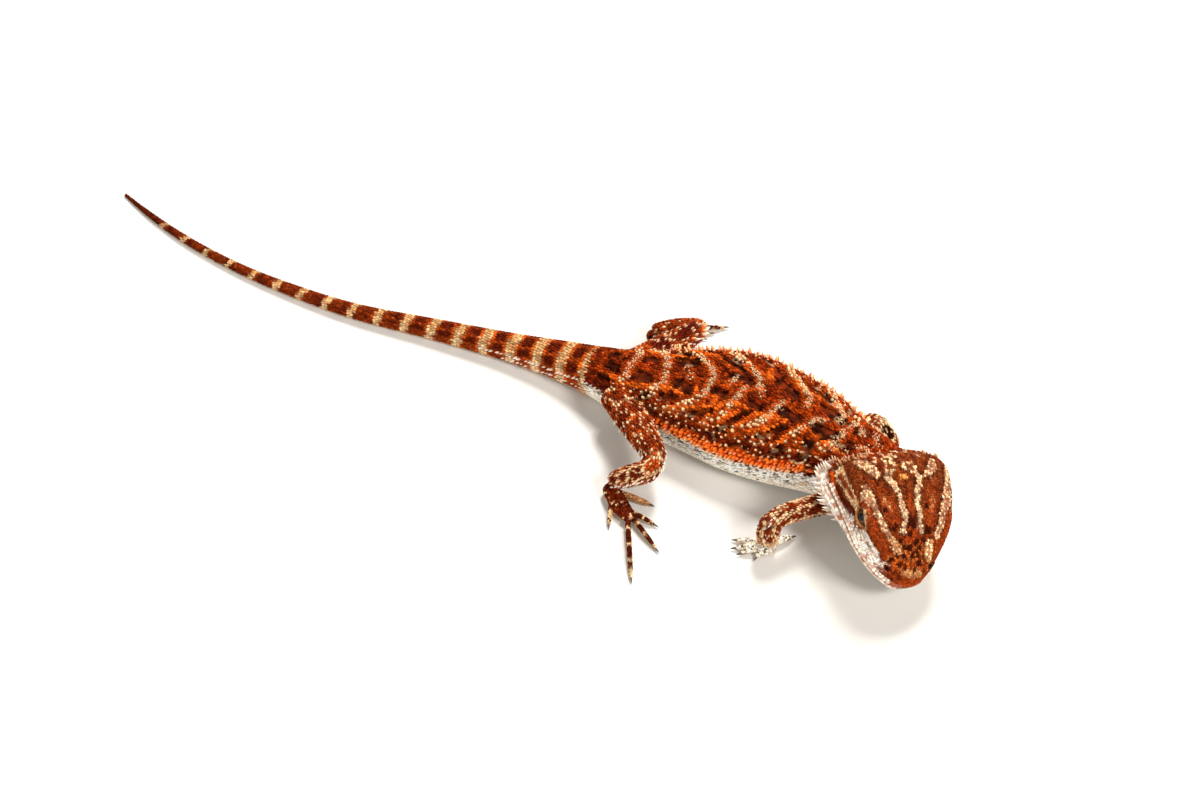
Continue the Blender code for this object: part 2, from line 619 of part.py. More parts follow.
def limb_piece(name, half, grow=0.0):
    """The first or second length of a limb, half a gap short of the other at the bend."""
    kind = name.split("_")[0]
    points = LIMB_POINTS[name]
    start, end = ((0.0, BEND_MIDDLE), (BEND_MIDDLE, len(points) - 1.0))[half]
    fine = np.linspace(start, end, PATH_STEPS)
    at = np.interp(evenly(bent(points, fine), LIMB_COUNT), np.arange(PATH_STEPS), fine)
    size = through(LIMB_WAY, LIMB_SIZES[kind], at) + grow
    middle, forward, side, up = limb_frames(name, at)
    rings = ovals(middle, side, up, size, LIMB_RING)
    short = GAP / 2 if half == 0 else -grow
    rings[-1] -= forward[-1] * short
    if half == 1:
        rings[0] += forward[0] * (GAP / 2 - grow)
    return loft(LIMB_NAMES[kind][half], on_floor(rings))


def paw(name):
    """The flat of a hand or foot, rounded at heel and toe roots."""
    kind = name.split("_")[0]
    heel, roots = np.array(PAW_POINTS[name])
    t = (1 - np.cos(np.linspace(*PAW_ENDS, PAW_COUNT) * math.pi)) / 2
    sizes = np.array(PAW_SIZES[kind])
    rounding = (1 - np.abs(2 * t - 1) ** PAW_ROUNDING) ** 0.5
    size = through(sizes[:, 0], sizes[:, 1:], t) * rounding[:, None]
    forward = unit(roots - heel)
    side = unit(np.cross([0, 0, 1.0], forward))
    up = np.cross(forward, side)
    middle = heel + (roots - heel) * t[:, None]
    count = len(t)
    rings = ovals(middle, np.tile(side, (count, 1)), np.tile(up, (count, 1)), size, LIMB_RING)
    rings[..., 2] = np.maximum(rings[..., 2], PAW_LIFT)
    return loft(LIMB_NAMES[kind][2], rings)


def digit(row):
    """A toe arched over its knuckle, ending in a curved claw."""
    x0, y0, x1, y1, radius = row
    root, tip = np.array([x0, y0, DIGIT_RISE]), np.array([x1, y1, TIP_RISE * radius])
    heading = unit(tip * [1, 1, 0] - root * [1, 1, 0])
    knuckle = (root + tip) / 2 + [0, 0, KNUCKLE_RISE]
    t = np.array(DIGIT_WAY)[:, None]
    middle = (1 - t) ** 2 * root + 2 * t * (1 - t) * knuckle + t**2 * tip
    way, rise, claw_radius = np.array(CLAW_ROWS).T
    claw = tip + heading * way[:, None] * CLAW_LENGTH
    claw[:, 2] = np.maximum(tip[2] + rise, CLAW_FLOOR)
    middle = np.vstack([middle, claw])
    thick = np.append(radius * np.array(DIGIT_THICK), claw_radius)
    side = np.cross([0, 0, 1.0], heading)
    turn = np.linspace(0, 2 * math.pi, DIGIT_RING, endpoint=False)
    across = side * np.cos(turn)[:, None] + np.array([0, 0, 1.0]) * np.sin(turn)[:, None]
    return loft("digit", on_floor(middle[:, None] + across * thick[:, None, None]))


def spine(base, out, length, radius):
    """A closed cone on the skin at base, with its foot sunk below it."""
    across = unit(np.cross(out, SPINE_TWIST))
    turn = np.linspace(0, 2 * math.pi, SPINE_SIDES, endpoint=False)[:, None]
    spread = radius * (1 + SPINE_SINK / length)
    ring = across * np.cos(turn) + np.cross(out, across) * np.sin(turn)
    points = np.vstack([base - out * SPINE_SINK + spread * ring, base + out * length])
    faces = [(j, (j + 1) % SPINE_SIDES, SPINE_SIDES) for j in range(SPINE_SIDES)]
    faces.append(tuple(range(SPINE_SIDES))[::-1])
    obj = new_object("spine", points, faces)
    face_outwards(obj.data)
    return obj


def trunk_spots(x, turn):
    """Skin points at x and turn, with their outward and backward directions."""
    way = along_trunk(x)
    turn = np.radians(turn)[:, None]
    here = trunk_points(way, turn, 0.0, fringe_reach(way))[:, 0]
    back = unit(trunk_points(way - TRUNK_STEP, turn)[:, 0] - trunk_points(way + TRUNK_STEP, turn)[:, 0])
    rounds = trunk_points(way, turn + TURN_STEP)[:, 0] - trunk_points(way, turn - TURN_STEP)[:, 0]
    return here, unit(np.cross(back, rounds)), back


def head_spots(x, turn, side):
    """The same on the head, where turn runs from the crown to the throat."""

    def skin(x, turn):
        flat = head_section(x, turn)[0]
        return from_head([x, side * flat[0], flat[1]])

    dx, dt = HEAD_STEPS
    here = np.array([skin(a, b) for a, b in zip(x, turn)])
    back = unit(np.array([skin(a - dx, b) - skin(a + dx, b) for a, b in zip(x, turn)]))
    rounds = np.array([skin(a, b + dt) - skin(a, b - dt) for a, b in zip(x, turn)])
    return here, unit(np.cross(rounds, back)) * side, back


def limb_spots(name, at, turn):
    """The same on a limb, where the second direction leads to its end."""
    kind = name.split("_")[0]
    size = through(LIMB_WAY, LIMB_SIZES[kind], at)
    middle, forward, side, up = limb_frames(name, at)
    turn = math.radians(turn)
    out = unit(side * math.cos(turn) + up * math.sin(turn))
    reach = size[:, 0:1] * math.cos(turn) * side + size[:, 1:2] * math.sin(turn) * up
    return middle + reach, out, forward


def piece_at(x):
    """Name of the length of trunk that holds x."""
    return [name for name, row in LENGTHS.items() if row[0] <= x][-1]


def head_owner(x, turn):
    """Lower jaw below the mouth line and ahead of the slant behind its corner, or else head."""
    height = head_section(x, turn)[0, 1]
    slant = np.interp(-height, [-MOUTH_CORNER[1], -JAW_HEEL[1]], [MOUTH_CORNER[0], JAW_HEEL[0]])
    return "lower_jaw" if height < mouth_height(x) and x > slant else "head"


def spine_list():
    """Every spine as the piece that it grows from, base, direction, length and radius."""
    draw = np.random.default_rng(SPINE_SEED)
    spines = []

    def add(owners, spots, length, radius, lean):
        lean = math.radians(lean)
        for owner, base, out, back in zip(owners, *spots):
            vary = 1 + SPINE_JITTER * draw.uniform(-1, 1)
            heading = unit(out * math.cos(lean) + back * math.sin(lean))
            spines.append((owner, base, heading, length * vary, radius))

    for first, last, count, turn, length, radius, lean in TRUNK_ROWS:
        step = (last - first) / (count - 1)
        for side in (1, -1):
            x = np.linspace(first, last, count) + SPINE_JITTER * step * draw.uniform(-1, 1, count)
            turns = np.full(count, turn if side == 1 else 180.0 - turn)
            add([piece_at(a) for a in x], trunk_spots(x, turns), length, radius, lean)
    for apex, sweep in CHEVRONS:
        for side in (1, -1):
            away = np.array(CHEVRON_TURNS)
            x = apex - sweep * (away / SWEEP_TURN) ** 2
            owners = [piece_at(a) for a in x]
            add(owners, trunk_spots(x, 90.0 + side * away), *TUBERCLE)
    for first, last, start, end, count, length, radius, lean in HEAD_ROWS:
        for side in (1, -1):
            x, turn = np.linspace(first, last, count), np.linspace(start, end, count)
            owners = [head_owner(a, b) for a, b in zip(x, turn)]
            add(owners, head_spots(x, turn, side), length, radius, lean)
    for name, half, start, end, turn, count, length, radius in LIMB_ROWS:
        kind, side = name.split("_")
        owners = [f"{LIMB_NAMES[kind][half]}_{side}"] * count
        spots = limb_spots(name, np.linspace(start, end, count), turn)
        add(owners, spots, length, radius, LIMB_LEAN)
    return spines


def tree_of(obj):
    mesh = obj.data
    return BVHTree.FromPolygons([v.co for v in mesh.vertices], [p.vertices for p in mesh.polygons])


def is_clear(base, out, length, radius, trees):
    """Whether a spine, from its sunk foot to its tip, keeps the gap to all pieces and the floor."""
    if base[2] + out[2] * length < GAP:
        return False
    for part in (-SPINE_SINK / length, *SPINE_PROBES):
        point = (base + out * length * part - MIDDLE) * MM
        reach = (radius * (1 - part) + GAP) * MM
        if any(tree.find_nearest(point, reach)[0] is not None for tree in trees):
            return False
    return True


def add_spines(pieces):
    """Fuses each piece's spines to it in one union, leaving out those that would touch another."""
    spines = spine_list()
    for owner in dict.fromkeys(row[0] for row in spines):
        trees = [tree_of(piece) for name, piece in pieces.items() if name != owner]
        grown = []
        for name, base, out, length, radius in spines:
            if name == owner and is_clear(base, out, length, radius, trees):
                grown.append(spine(base, out, length, radius))
        combine(pieces[owner], grown, "UNION")


def limbs(pieces):
    """Three pieces to each leg. The first is cut clear of what it grows from, and the others of
    the piece before them. The last has digits.
    """
    for name in LIMB_POINTS:
        kind, side = name.split("_")
        upper, lower = limb_piece(name, 0), limb_piece(name, 1)
        around = [trunk_piece("torso", GAP)]
        if kind == "front":
            around += [trunk_piece("neck", GAP), head_piece("cutter", GAP)]
        combine(upper, around, "DIFFERENCE")
        combine(lower, [limb_piece(name, 0, GAP)], "DIFFERENCE")
        end = paw(name)
        combine(end, [digit(row) for row in DIGITS[name]], "UNION")
        combine(end, [limb_piece(name, 1, GAP)], "DIFFERENCE")
        for piece, word in zip((upper, lower, end), LIMB_NAMES[kind]):
            pieces[f"{word}_{side}"] = piece


def main():
    for obj in list(bpy.data.objects):
        bpy.data.objects.remove(obj)
    pieces = head_pieces()
    for name in LENGTHS:
        pieces[name] = trunk_piece(name)
        if name in ("torso", "neck"):
            combine(pieces[name], [head_piece("cutter", GAP)], "DIFFERENCE")
    limbs(pieces)
    add_spines(pieces)
    for name, piece in pieces.items():
        finish(piece, name, *LOOKS[name.split("_")[0]])


main()
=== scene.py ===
import math

import bpy
import numpy as np
from mathutils.bvhtree import BVHTree
from mathutils.kdtree import KDTree
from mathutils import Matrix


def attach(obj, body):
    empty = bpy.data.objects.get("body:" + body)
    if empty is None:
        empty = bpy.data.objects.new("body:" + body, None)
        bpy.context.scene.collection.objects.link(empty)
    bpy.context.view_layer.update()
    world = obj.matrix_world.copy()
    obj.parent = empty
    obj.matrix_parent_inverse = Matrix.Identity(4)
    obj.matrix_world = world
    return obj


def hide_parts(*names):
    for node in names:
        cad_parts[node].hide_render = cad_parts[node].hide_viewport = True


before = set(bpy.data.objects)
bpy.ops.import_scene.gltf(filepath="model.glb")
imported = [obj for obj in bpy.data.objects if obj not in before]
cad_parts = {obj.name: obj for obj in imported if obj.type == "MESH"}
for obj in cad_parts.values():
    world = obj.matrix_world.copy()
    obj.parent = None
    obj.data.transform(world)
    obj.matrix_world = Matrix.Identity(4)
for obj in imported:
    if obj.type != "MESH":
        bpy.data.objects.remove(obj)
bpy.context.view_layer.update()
draw = np.random.default_rng(11)

toMetres = 0.001
onceRound = (0, 2 * math.pi)
bodyMiddle = np.array([-31.5, -3.73, 0.0])  # bottom centre of the whole animal

# Colours of the animal, as linear red, green and blue
paint = {
    "ground": (0.185, 0.017, 0.002),
    "rust": (0.34, 0.046, 0.004),
    "orange": (0.60, 0.098, 0.008),
    "fire": (0.86, 0.100, 0.004),
    "amber": (0.72, 0.27, 0.06),
    "dark": (0.024, 0.003, 0.001),
    "umber": (0.072, 0.006, 0.002),
    "maroon": (0.100, 0.010, 0.003),
    "crown": (0.150, 0.031, 0.007),
    "brick": (0.25, 0.034, 0.005),
    "cream": (0.74, 0.48, 0.26),
    "white": (0.98, 0.91, 0.78),
    "grey": (0.46, 0.29, 0.18),
    "mauve": (0.30, 0.125, 0.07),
    "pink": (0.52, 0.18, 0.10),
    "tan": (0.58, 0.27, 0.10),
    "sand": (0.50, 0.25, 0.09),
    "sole": (0.66, 0.42, 0.23),
}
paint = {name: np.array(colour) for name, colour in paint.items()}


# The rows of a table joined by a smooth cubic that leaves each row at the slope of its neighbours
def smoothly(knots, rows, at):
    knots, rows, at = (np.asarray(v, float) for v in (knots, rows, at))
    slopes = np.gradient(rows, knots, axis=0)
    i = np.clip(np.searchsorted(knots, at, side="right") - 1, 0, len(knots) - 2)
    span = (knots[i + 1] - knots[i])[:, None]
    f = ((at - knots[i])[:, None] / span).clip(0, 1)
    start = (1 + 2 * f) * (1 - f) ** 2 * rows[i] + f * (1 - f) ** 2 * span * slopes[i]
    end = f**2 * (3 - 2 * f) * rows[i + 1] - f**2 * (1 - f) * span * slopes[i + 1]
    return start + end


def lengths(rows):
    return np.linalg.norm(rows, axis=1)


def unit(vectors):
    return vectors / np.maximum(np.linalg.norm(vectors, axis=-1, keepdims=True), 1e-9)


# 0 below low, 1 above high, with soft ends
def ramp(values, low, high):
    t = ((values - low) / (high - low)).clip(0, 1)
    return t * t * (3 - 2 * t)


# Colours blended row by row: weight 1 is the new colour. Either may be the name of a paint.
def over(colours, new, weight):
    colours, new = (paint[c] if isinstance(c, str) else np.asarray(c) for c in (colours, new))
    weight = np.asarray(weight, float)[..., None].clip(0, 1)
    return colours * (1 - weight) + new * weight


# Way walked from the first of a row of points to each one
def walk(path):
    return np.append(0, np.cumsum(lengths(np.diff(path, axis=0))))


# Points as a tree that finds the nearest of them
def treeOf(points):
    tree = KDTree(len(points))
    for i, p in enumerate(points.tolist()):
        tree.insert(p, i)
    tree.balance()
    return tree


# Smooth unevenness between -1 and 1: a mean of sine waves in seeded directions, about size mm long
def uneven(points, size, seed):
    waves = np.random.default_rng(seed)
    ways = waves.normal(0, 2 * math.pi / size / 1.7, (7, 3))
    return np.sin(points @ ways.T + waves.uniform(0, 6.28, 7)).sum(1) / 4.5


trunk = {
    "tailSink": 0.93,
    # the tail, tip first: x, y and radius
    "tail": ((-169, 38.5, 0.5), (-160, 33.9, 0.85), (-150, 29.4, 1.1), (-121, 20.4, 1.5),
             (-101, 17, 1.85), (-86, 15.4, 2.15), (-54, 15.4, 3.05), (-28.6, 15, 4.25),
             (-15, 14.1, 5.5)),
    # from the vent to inside the head: x, y, height of the fringe, half width, rise and depth
    "rows": ((-4, 12.4, 7, 6.9, 6.4, 7.3), (8, 10.4, 8.2, 9.8, 8.6, 8.6),
             (22, 9.8, 8.5, 14.2, 10.6, 9), (38, 9.6, 9, 17.7, 12.3, 9.4),
             (52, 7, 10, 17, 12.4, 9.8), (64, 3.4, 11.6, 14.2, 12.2, 10),
             (74, -1.8, 14.8, 11, 10.6, 10.4), (82, -6.4, 17.4, 10, 9, 10),
             (88, -10, 18.6, 8, 7.5, 8)),
    "backPower": 2.2,
    "bellyPower": 4.5,
    "bellyBulge": 0.04,
    "fringe": 0.5,
}
tailRows = [(x, y, trunk["tailSink"] * r, r, r, r) for x, y, r in trunk["tail"]]
trunkRows = np.array(tailRows + list(trunk["rows"]))
trunkKnots = walk(trunkRows[:, :3])
trunkFine = np.linspace(0, trunkKnots[-1], 4000)
trunkX = smoothly(trunkKnots, trunkRows, trunkFine)[:, 0]


# Way along the trunk's middle line at which it passes x, and the other way round
def wayAt(x):
    return np.interp(x, trunkX, trunkFine)


def xAt(way):
    return np.interp(way, trunkFine, trunkX)


# Skin of tail and trunk: round a middle line, a superellipse of one power over the fringe and a
# squarer one below it. way runs from the tail's tip to the head, turn from the left fringe over
# the back to the right one.
def trunkSkin(way, turn, grow=0.0):
    here = smoothly(trunkKnots, trunkRows, way)
    ahead = smoothly(trunkKnots, trunkRows, way + 0.5) - smoothly(trunkKnots, trunkRows, way - 0.5)
    forward = unit(ahead[:, :3])
    left = unit(np.cross([0, 0, 1.0], forward))
    up = np.cross(forward, left)
    power = np.where(np.sin(turn) > 0, trunk["backPower"], trunk["bellyPower"])
    side = np.sign(np.cos(turn)) * np.abs(np.cos(turn)) ** (2 / power)
    side = side * (1 + trunk["bellyBulge"] * (-2 * np.sin(turn)).clip(0, 1))
    rise = np.abs(np.sin(turn)) ** (2 / power)
    reach = trunk["fringe"] * np.interp(xAt(way), [4, 18, 64, 76], [0, 1, 1, 0])
    width = here[:, 3] + grow + reach * np.exp(-((np.sin(turn) / 0.22) ** 2))
    height = np.where(np.sin(turn) > 0, here[:, 4] + grow, -here[:, 5] - grow) * rise
    points = here[:, :3] + left * (width * side)[:, None] + up * height[:, None]
    points[:, 2] = np.maximum(points[:, 2], -grow)
    return points


head = {
    "origin": (86.6, -3.0, 30.2),  # the back of the crown
    "yaw": -64.2,
    "pitch": 17,
    "roll": 18,
    "scale": 1.045,
    # half sections: x, crown height, then brow, temple, upper lip, cheek and jaw edge as side and
    # height, and the throat's height
    "rows": (
        (-0.8, -8.6, 5.2, -9.4, 7.2, -11.2, 8.2, -13, 8, -15.5, 5.2, -18.3, -19),
        (0.2, -5.6, 8.2, -7.2, 10.8, -10, 12.2, -13, 12.4, -16.4, 8, -20.6, -21.6),
        (1.8, -2.8, 10.4, -4.6, 12.9, -8.1, 14.6, -12.2, 15.2, -16, 10, -21.4, -22.9),
        (4, -0.8, 12.2, -2.3, 14.4, -6.3, 16, -11.3, 17, -15.3, 11.4, -21.8, -23),
        (6, 0, 13.2, -1.6, 14.9, -5.5, 16.2, -11, 17.6, -15, 11.7, -21.3, -22.5),
        (9.5, 0.2, 13.6, -1.3, 14.8, -4.8, 15.8, -10.5, 17.2, -14.5, 11.6, -20.4, -21.5),
        (13.5, 0.2, 13.5, -1, 14.2, -4.4, 15, -10, 16, -13.8, 11.2, -18.8, -19.8),
        (17, 0, 13, -0.9, 13.4, -4.4, 14.4, -9.6, 15, -12.8, 10.6, -17.2, -18),
        (20.5, -0.3, 12.3, -1, 12.6, -4.4, 13.8, -9.2, 13.9, -12.2, 9.8, -16, -16.6),
        (24, -0.9, 11, -1.7, 11.7, -4.8, 13.1, -9.2, 12.9, -12, 9, -15, -15.4),
        (28, -2.1, 8.8, -3, 9.9, -5.5, 11.4, -9.4, 11.1, -11.9, 7.8, -14.3, -14.6),
        (32, -3.8, 6.1, -4.7, 7.4, -6.6, 8.8, -9.8, 8.5, -12, 5.9, -13.9, -14.1),
        (34.8, -5.6, 3.9, -6.3, 4.9, -7.8, 6, -10.1, 5.7, -12.1, 3.9, -13.6, -13.7),
        (36.4, -7.4, 2, -7.8, 2.7, -8.8, 3.4, -10.4, 3.2, -12.1, 2.1, -13.1, -13.2),
        (37, -9.3, 0.7, -9.4, 0.9, -9.9, 1.1, -10.6, 1, -11.4, 0.7, -12, -12.1),
    ),
    "middle": -11,
    "mouth": ((6.6, -11.9), (9, -11.6), (14, -10.9), (20, -10.3), (26, -10.3), (33, -10.7),
              (44, -10.9)),
}
headRows = np.array(head["rows"])
yaw, pitch, roll = (math.radians(head[name]) for name in ("yaw", "pitch", "roll"))
headForward = np.array([math.cos(yaw) * math.cos(pitch), math.sin(yaw) * math.cos(pitch), -math.sin(pitch)])
levelLeft = np.array([-math.sin(yaw), math.cos(yaw), 0])
upright = np.cross(headForward, levelLeft)
headLeft = levelLeft * math.cos(roll) - upright * math.sin(roll)
headUp = upright * math.cos(roll) + levelLeft * math.sin(roll)
headAxes = np.array([headForward, headLeft, headUp])


def fromHead(points):
    return np.asarray(points, float) * head["scale"] @ headAxes + head["origin"]


# A place of the left side of the face, or its mirror image for side -1
def onSide(place, side):
    return np.array(place) * [1, side, 1]


def inHead(points):
    return (np.asarray(points) - head["origin"]) @ headAxes.T / head["scale"]


# Skin of the head in its own frame: at each x a closed cubic through crown, brow, temple, lip,
# cheek, jaw edge and throat. t is 0 on the crown, 1 under the throat, and 2 on the crown again.
def headSection(x, t, grow=0.0):
    row = smoothly(headRows[:, 0], headRows[:, 1:], x)
    none = np.zeros(len(row))
    side = np.stack([none, row[:, 1], row[:, 3], row[:, 5], row[:, 7], row[:, 9], none], 1)
    tall = np.stack([row[:, 0], row[:, 2], row[:, 4], row[:, 6], row[:, 8], row[:, 10], row[:, 11]], 1)
    ring = np.stack([np.hstack([side, -side[:, -2:0:-1]]), np.hstack([tall, tall[:, -2:0:-1]])], 2)
    slope = (np.roll(ring, -1, 1) - np.roll(ring, 1, 1)) / 2
    at = np.mod(np.asarray(t, float), 2.0) * 6
    i = np.floor(at).astype(int) % 12
    f = (at - np.floor(at))[:, None]
    rows = np.arange(len(row))
    p, q, a, b = ring[rows, i], ring[rows, (i + 1) % 12], slope[rows, i], slope[rows, (i + 1) % 12]
    flat = (1 + 2 * f) * (1 - f) ** 2 * p + f * (1 - f) ** 2 * a
    flat = flat + f**2 * (3 - 2 * f) * q - f**2 * (1 - f) * b
    return np.column_stack([x, flat + unit(flat - [0, head["middle"]]) * grow])


def headSkin(x, t, grow=0.0):
    return fromHead(headSection(np.asarray(x, float), t, grow))


def mouthHeight(x):
    line = np.array(head["mouth"])
    return np.interp(x, line[:, 0], line[:, 1])


legs = {
    # root in the trunk, two points round the elbow or knee, and wrist or ankle
    "points": {
        "front_right": ((74.5, -12, 9), (60.2, -24.8, 13.2), (57.9, -27.7, 11.8), (57.6, -28.2, 2.9)),
        "front_left": ((69, 4, 9.5), (77, 14.4, 11.6), (79.8, 15, 9.8), (84.4, 12.6, 2.9)),
        "hind_right": ((4, 4, 9.5), (21, -14.8, 11.8), (21, -19.4, 10.4), (9.8, -22.6, 4.4)),
        "hind_left": ((5, 13, 9.5), (20.4, 31.4, 11.2), (19.6, 35.6, 6.9), (6.4, 32.2, 4.6)),
    },
    "sides": {
        "front_right": ((0, 0, 1), (-0.9, 0.3, 0.2), (-0.9, 0.3, 0), (-1, 0, 0)),
        "front_left": ((0, 0, 1), (-0.5, 0.8, 0.2), (0.7, 0.7, 0), (0.7, 0.7, 0)),
        "hind_right": ((0, 0, 1),) * 4,
        "hind_left": ((0, 0, 1), (-0.3, 0.4, 0.9), (-0.4, 0.9, 0.4), (0, 0, 1)),
    },
    "bend": 3.2,  # how far from a bend its rounding starts
    "way": (0, 0.6, 1, 2, 2.5, 3),
    "sizes": {
        "front": ((3.2, 3.2), (3, 3), (2.8, 2.8), (3.1, 2.9), (3.3, 2.9), (2.8, 2.3)),
        "hind": ((5, 5.4), (4, 4.6), (3.2, 3.4), (3.2, 3.2), (3.2, 3.1), (2.2, 2.2)),
    },
    # heel and the roots of the toes
    "paws": {
        "front_right": ((59.4, -26.4, 1.7), (55.2, -30.8, 1.4)),
        "front_left": ((83.6, 14.4, 1.7), (87.8, 9, 1.4)),
        "hind_right": ((8.6, -22.4, 2.5), (18.8, -31.8, 1.5)),
        "hind_left": ((4.8, 31, 2.4), (16, 37.4, 1.5)),
    },
    "pawSizes": {
        "front": ((0, 2.7, 1.7), (0.5, 3.1, 1.8), (1, 2.7, 1.3)),
        "hind": ((0, 2.5, 2.4), (0.5, 2.7, 2), (1, 2.6, 1.2)),
    },
    # digits from the outer to the inner one: root and tip on the floor, and radius
    "digits": {
        "front_right": ((56.2, -27.8, 49.2, -28.8, 0.9), (56, -29.2, 49.6, -31.4, 0.9),
                        (56.2, -29.8, 51.6, -32.6, 0.85), (57, -29.8, 56, -32.4, 0.8),
                        (58.8, -27.4, 63.8, -23.4, 1.05)),
        "front_left": ((87.2, 11.6, 92.6, 10.6, 0.7), (87.8, 10.6, 96.6, 6.8, 0.8),
                       (88, 10, 97.2, 2.6, 0.8), (87, 10, 93, -0.6, 0.75),
                       (86, 11, 86.6, 3.4, 0.75)),
        "hind_right": ((11.4, -25.6, 13.2, -34.4, 0.8), (17.6, -31, 24.2, -49.4, 0.85),
                       (18.6, -30.4, 28.2, -38.2, 0.8), (18.2, -29, 25.4, -30.6, 0.8),
                       (12.8, -23.8, 22.4, -24.6, 1)),
        "hind_left": ((7.6, 33, 9.2, 38.6, 0.75), (14.6, 37.6, 26.2, 42.8, 0.85),
                      (15.4, 36.8, 22.6, 39.4, 0.85), (15, 35.6, 21, 36.8, 0.8),
                      (12.6, 34, 18.4, 33.2, 0.8)),
    },
    "clawLength": 1.7,
    "length": {"front": 34.0, "hind": 40.0},  # of a leg along its middle line
    # ovals on the legs: mm from the root, degrees round, half length in mm and in degrees, rim and core
    "ovals": {
        "hind_right": ((28.6, 340, 1.6, 40, "cream", "rust"), (33, 330, 1.9, 34, "cream", "maroon"),
                       (37.2, 330, 1.5, 30, "cream", "maroon"), (40.6, 330, 1.2, 30, "cream", "maroon")),
        "hind_left": ((8, 60, 2, 30, "cream", "cream"), (12, 10, 2.6, 30, "maroon", "umber"),
                      (20, 20, 3, 34, "maroon", "umber")),
        "front_left": ((18, 85, 3, 34, "cream", "dark"), (18, 10, 4.5, 26, "cream", "white")),
        "front_right": ((14.5, 60, 1.8, 30, "maroon", "umber"),),
    },
}


# Straight runs from point to point, each bend rounded by a parabola
def bent(points, at):
    points = np.asarray(points, float)
    i = np.clip(np.floor(at).astype(int), 0, len(points) - 2)
    f = (at - i)[:, None]
    path = points[i] * (1 - f) + points[i + 1] * f
    for k in range(1, len(points) - 1):
        before, after = points[k] - points[k - 1], points[k + 1] - points[k]
        reachIn, reachOut = np.linalg.norm(before), np.linalg.norm(after)
        cut = min(legs["bend"], reachIn / 2, reachOut / 2)
        low, high = k - cut / reachIn, k + cut / reachOut
        t = np.interp(at, [low, k, high], [0, 0.5, 1])[:, None]
        start, end = points[k] - before / reachIn * cut, points[k] + after / reachOut * cut
        curve = (1 - t) ** 2 * start + 2 * t * (1 - t) * points[k] + t**2 * end
        rounded = (at > low) & (at < high)
        path[rounded] = curve[rounded]
    return path


# A tube as a table: middle, side and up directions and half sizes at even steps of u from 0 to 1
def tube(middle, poles, sizes):
    forward = unit(np.gradient(middle, axis=0))
    side = unit(poles - forward * (poles * forward).sum(1, keepdims=True))
    return np.hstack([middle, side, np.cross(forward, side), sizes])


# Skin of a tube: an oval round its middle line, pressed flat where it would sink in the floor
def tubeSkin(table, u, v, grow=0.0, floor=0.0):
    steps = np.linspace(0, 1, len(table))
    row = np.stack([np.interp(u, steps, column) for column in table.T], 1)
    width = (row[:, 9] + grow) * np.cos(v)
    height = (row[:, 10] + grow) * np.sin(v)
    points = row[:, 0:3] + row[:, 3:6] * width[:, None] + row[:, 6:9] * height[:, None]
    points[:, 2] = np.maximum(points[:, 2], floor - grow)
    return points


# Skin of one tube as a function of u, v and how far it has grown
def skinOf(table, floor=0.0):
    return lambda u, v, grow=0.0: tubeSkin(table, u, v, grow, floor)


def legTube(name, count=80):
    at = np.linspace(0, 3, count)
    poles = np.array(legs["sides"][name], float)
    poles = np.stack([np.interp(at, np.arange(4), column) for column in poles.T], 1)
    sizes = smoothly(legs["way"], legs["sizes"][name.split("_")[0]], at)
    sizes *= np.sqrt(1 - (0.85 * (at / 3 / 0.05 - 19).clip(0, 1)) ** 2)[:, None]  # a rounded ankle
    return tube(bent(legs["points"][name], at), poles, sizes)


# The flat of a hand or foot, rounded at heel and toe roots
def pawTube(name, count=40):
    heel, roots = np.array(legs["paws"][name])
    t = (1 - np.cos(np.linspace(0.1, 0.9, count) * math.pi)) / 2
    rows = np.array(legs["pawSizes"][name.split("_")[0]])
    sizes = smoothly(rows[:, 0], rows[:, 1:], t) * ((1 - np.abs(2 * t - 1) ** 4) ** 0.5)[:, None]
    side = unit(np.cross([0, 0, 1.0], roots - heel))
    return tube(heel + (roots - heel) * t[:, None], np.tile(side, (count, 1)), sizes)


# A toe arched over its knuckle
def digitTube(row, count=24):
    x0, y0, x1, y1, radius = row
    root, tip = np.array([x0, y0, 1.5]), np.array([x1, y1, 0.75 * radius])
    knuckle = (root + tip) / 2 + [0, 0, 1.0]
    t = np.linspace(0, 1, count)[:, None]
    middle = (1 - t) ** 2 * root + 2 * t * (1 - t) * knuckle + t**2 * tip
    thick = radius * np.interp(t[:, 0], [0, 0.3, 0.6, 0.85, 1], [1.05, 1.0, 0.95, 0.85, 0.6])
    side = unit(np.cross([0, 0, 1.0], (tip - root) * [1, 1, 0]))
    return tube(middle, np.tile(side, (count, 1)), np.stack([thick, thick], 1))


# A mesh object from arrays, in millimetres in the trunk's frame, with its place in its mesh
def newMesh(name, points, faces, attributes=None, uv=None):
    mesh = bpy.data.meshes.new(name)
    placed = (np.asarray(points, float) - bodyMiddle) * toMetres
    sides = faces.shape[1]
    mesh.vertices.add(len(placed))
    mesh.vertices.foreach_set("co", placed.astype(np.float32).ravel())
    mesh.loops.add(faces.size)
    mesh.loops.foreach_set("vertex_index", faces.astype(np.int32).ravel())
    mesh.polygons.add(len(faces))
    mesh.polygons.foreach_set("loop_start", np.arange(0, faces.size, sides, dtype=np.int32))
    mesh.update(calc_edges=True)
    for key, values in (attributes or {}).items():
        putAttribute(mesh, key, values)
    if uv is not None:
        layer = mesh.uv_layers.new(name="OFBake")
        layer.data.foreach_set("uv", uv[faces.ravel()].astype(np.float32).ravel())
    obj = bpy.data.objects.new(name, mesh)
    bpy.context.scene.collection.objects.link(obj)
    return obj


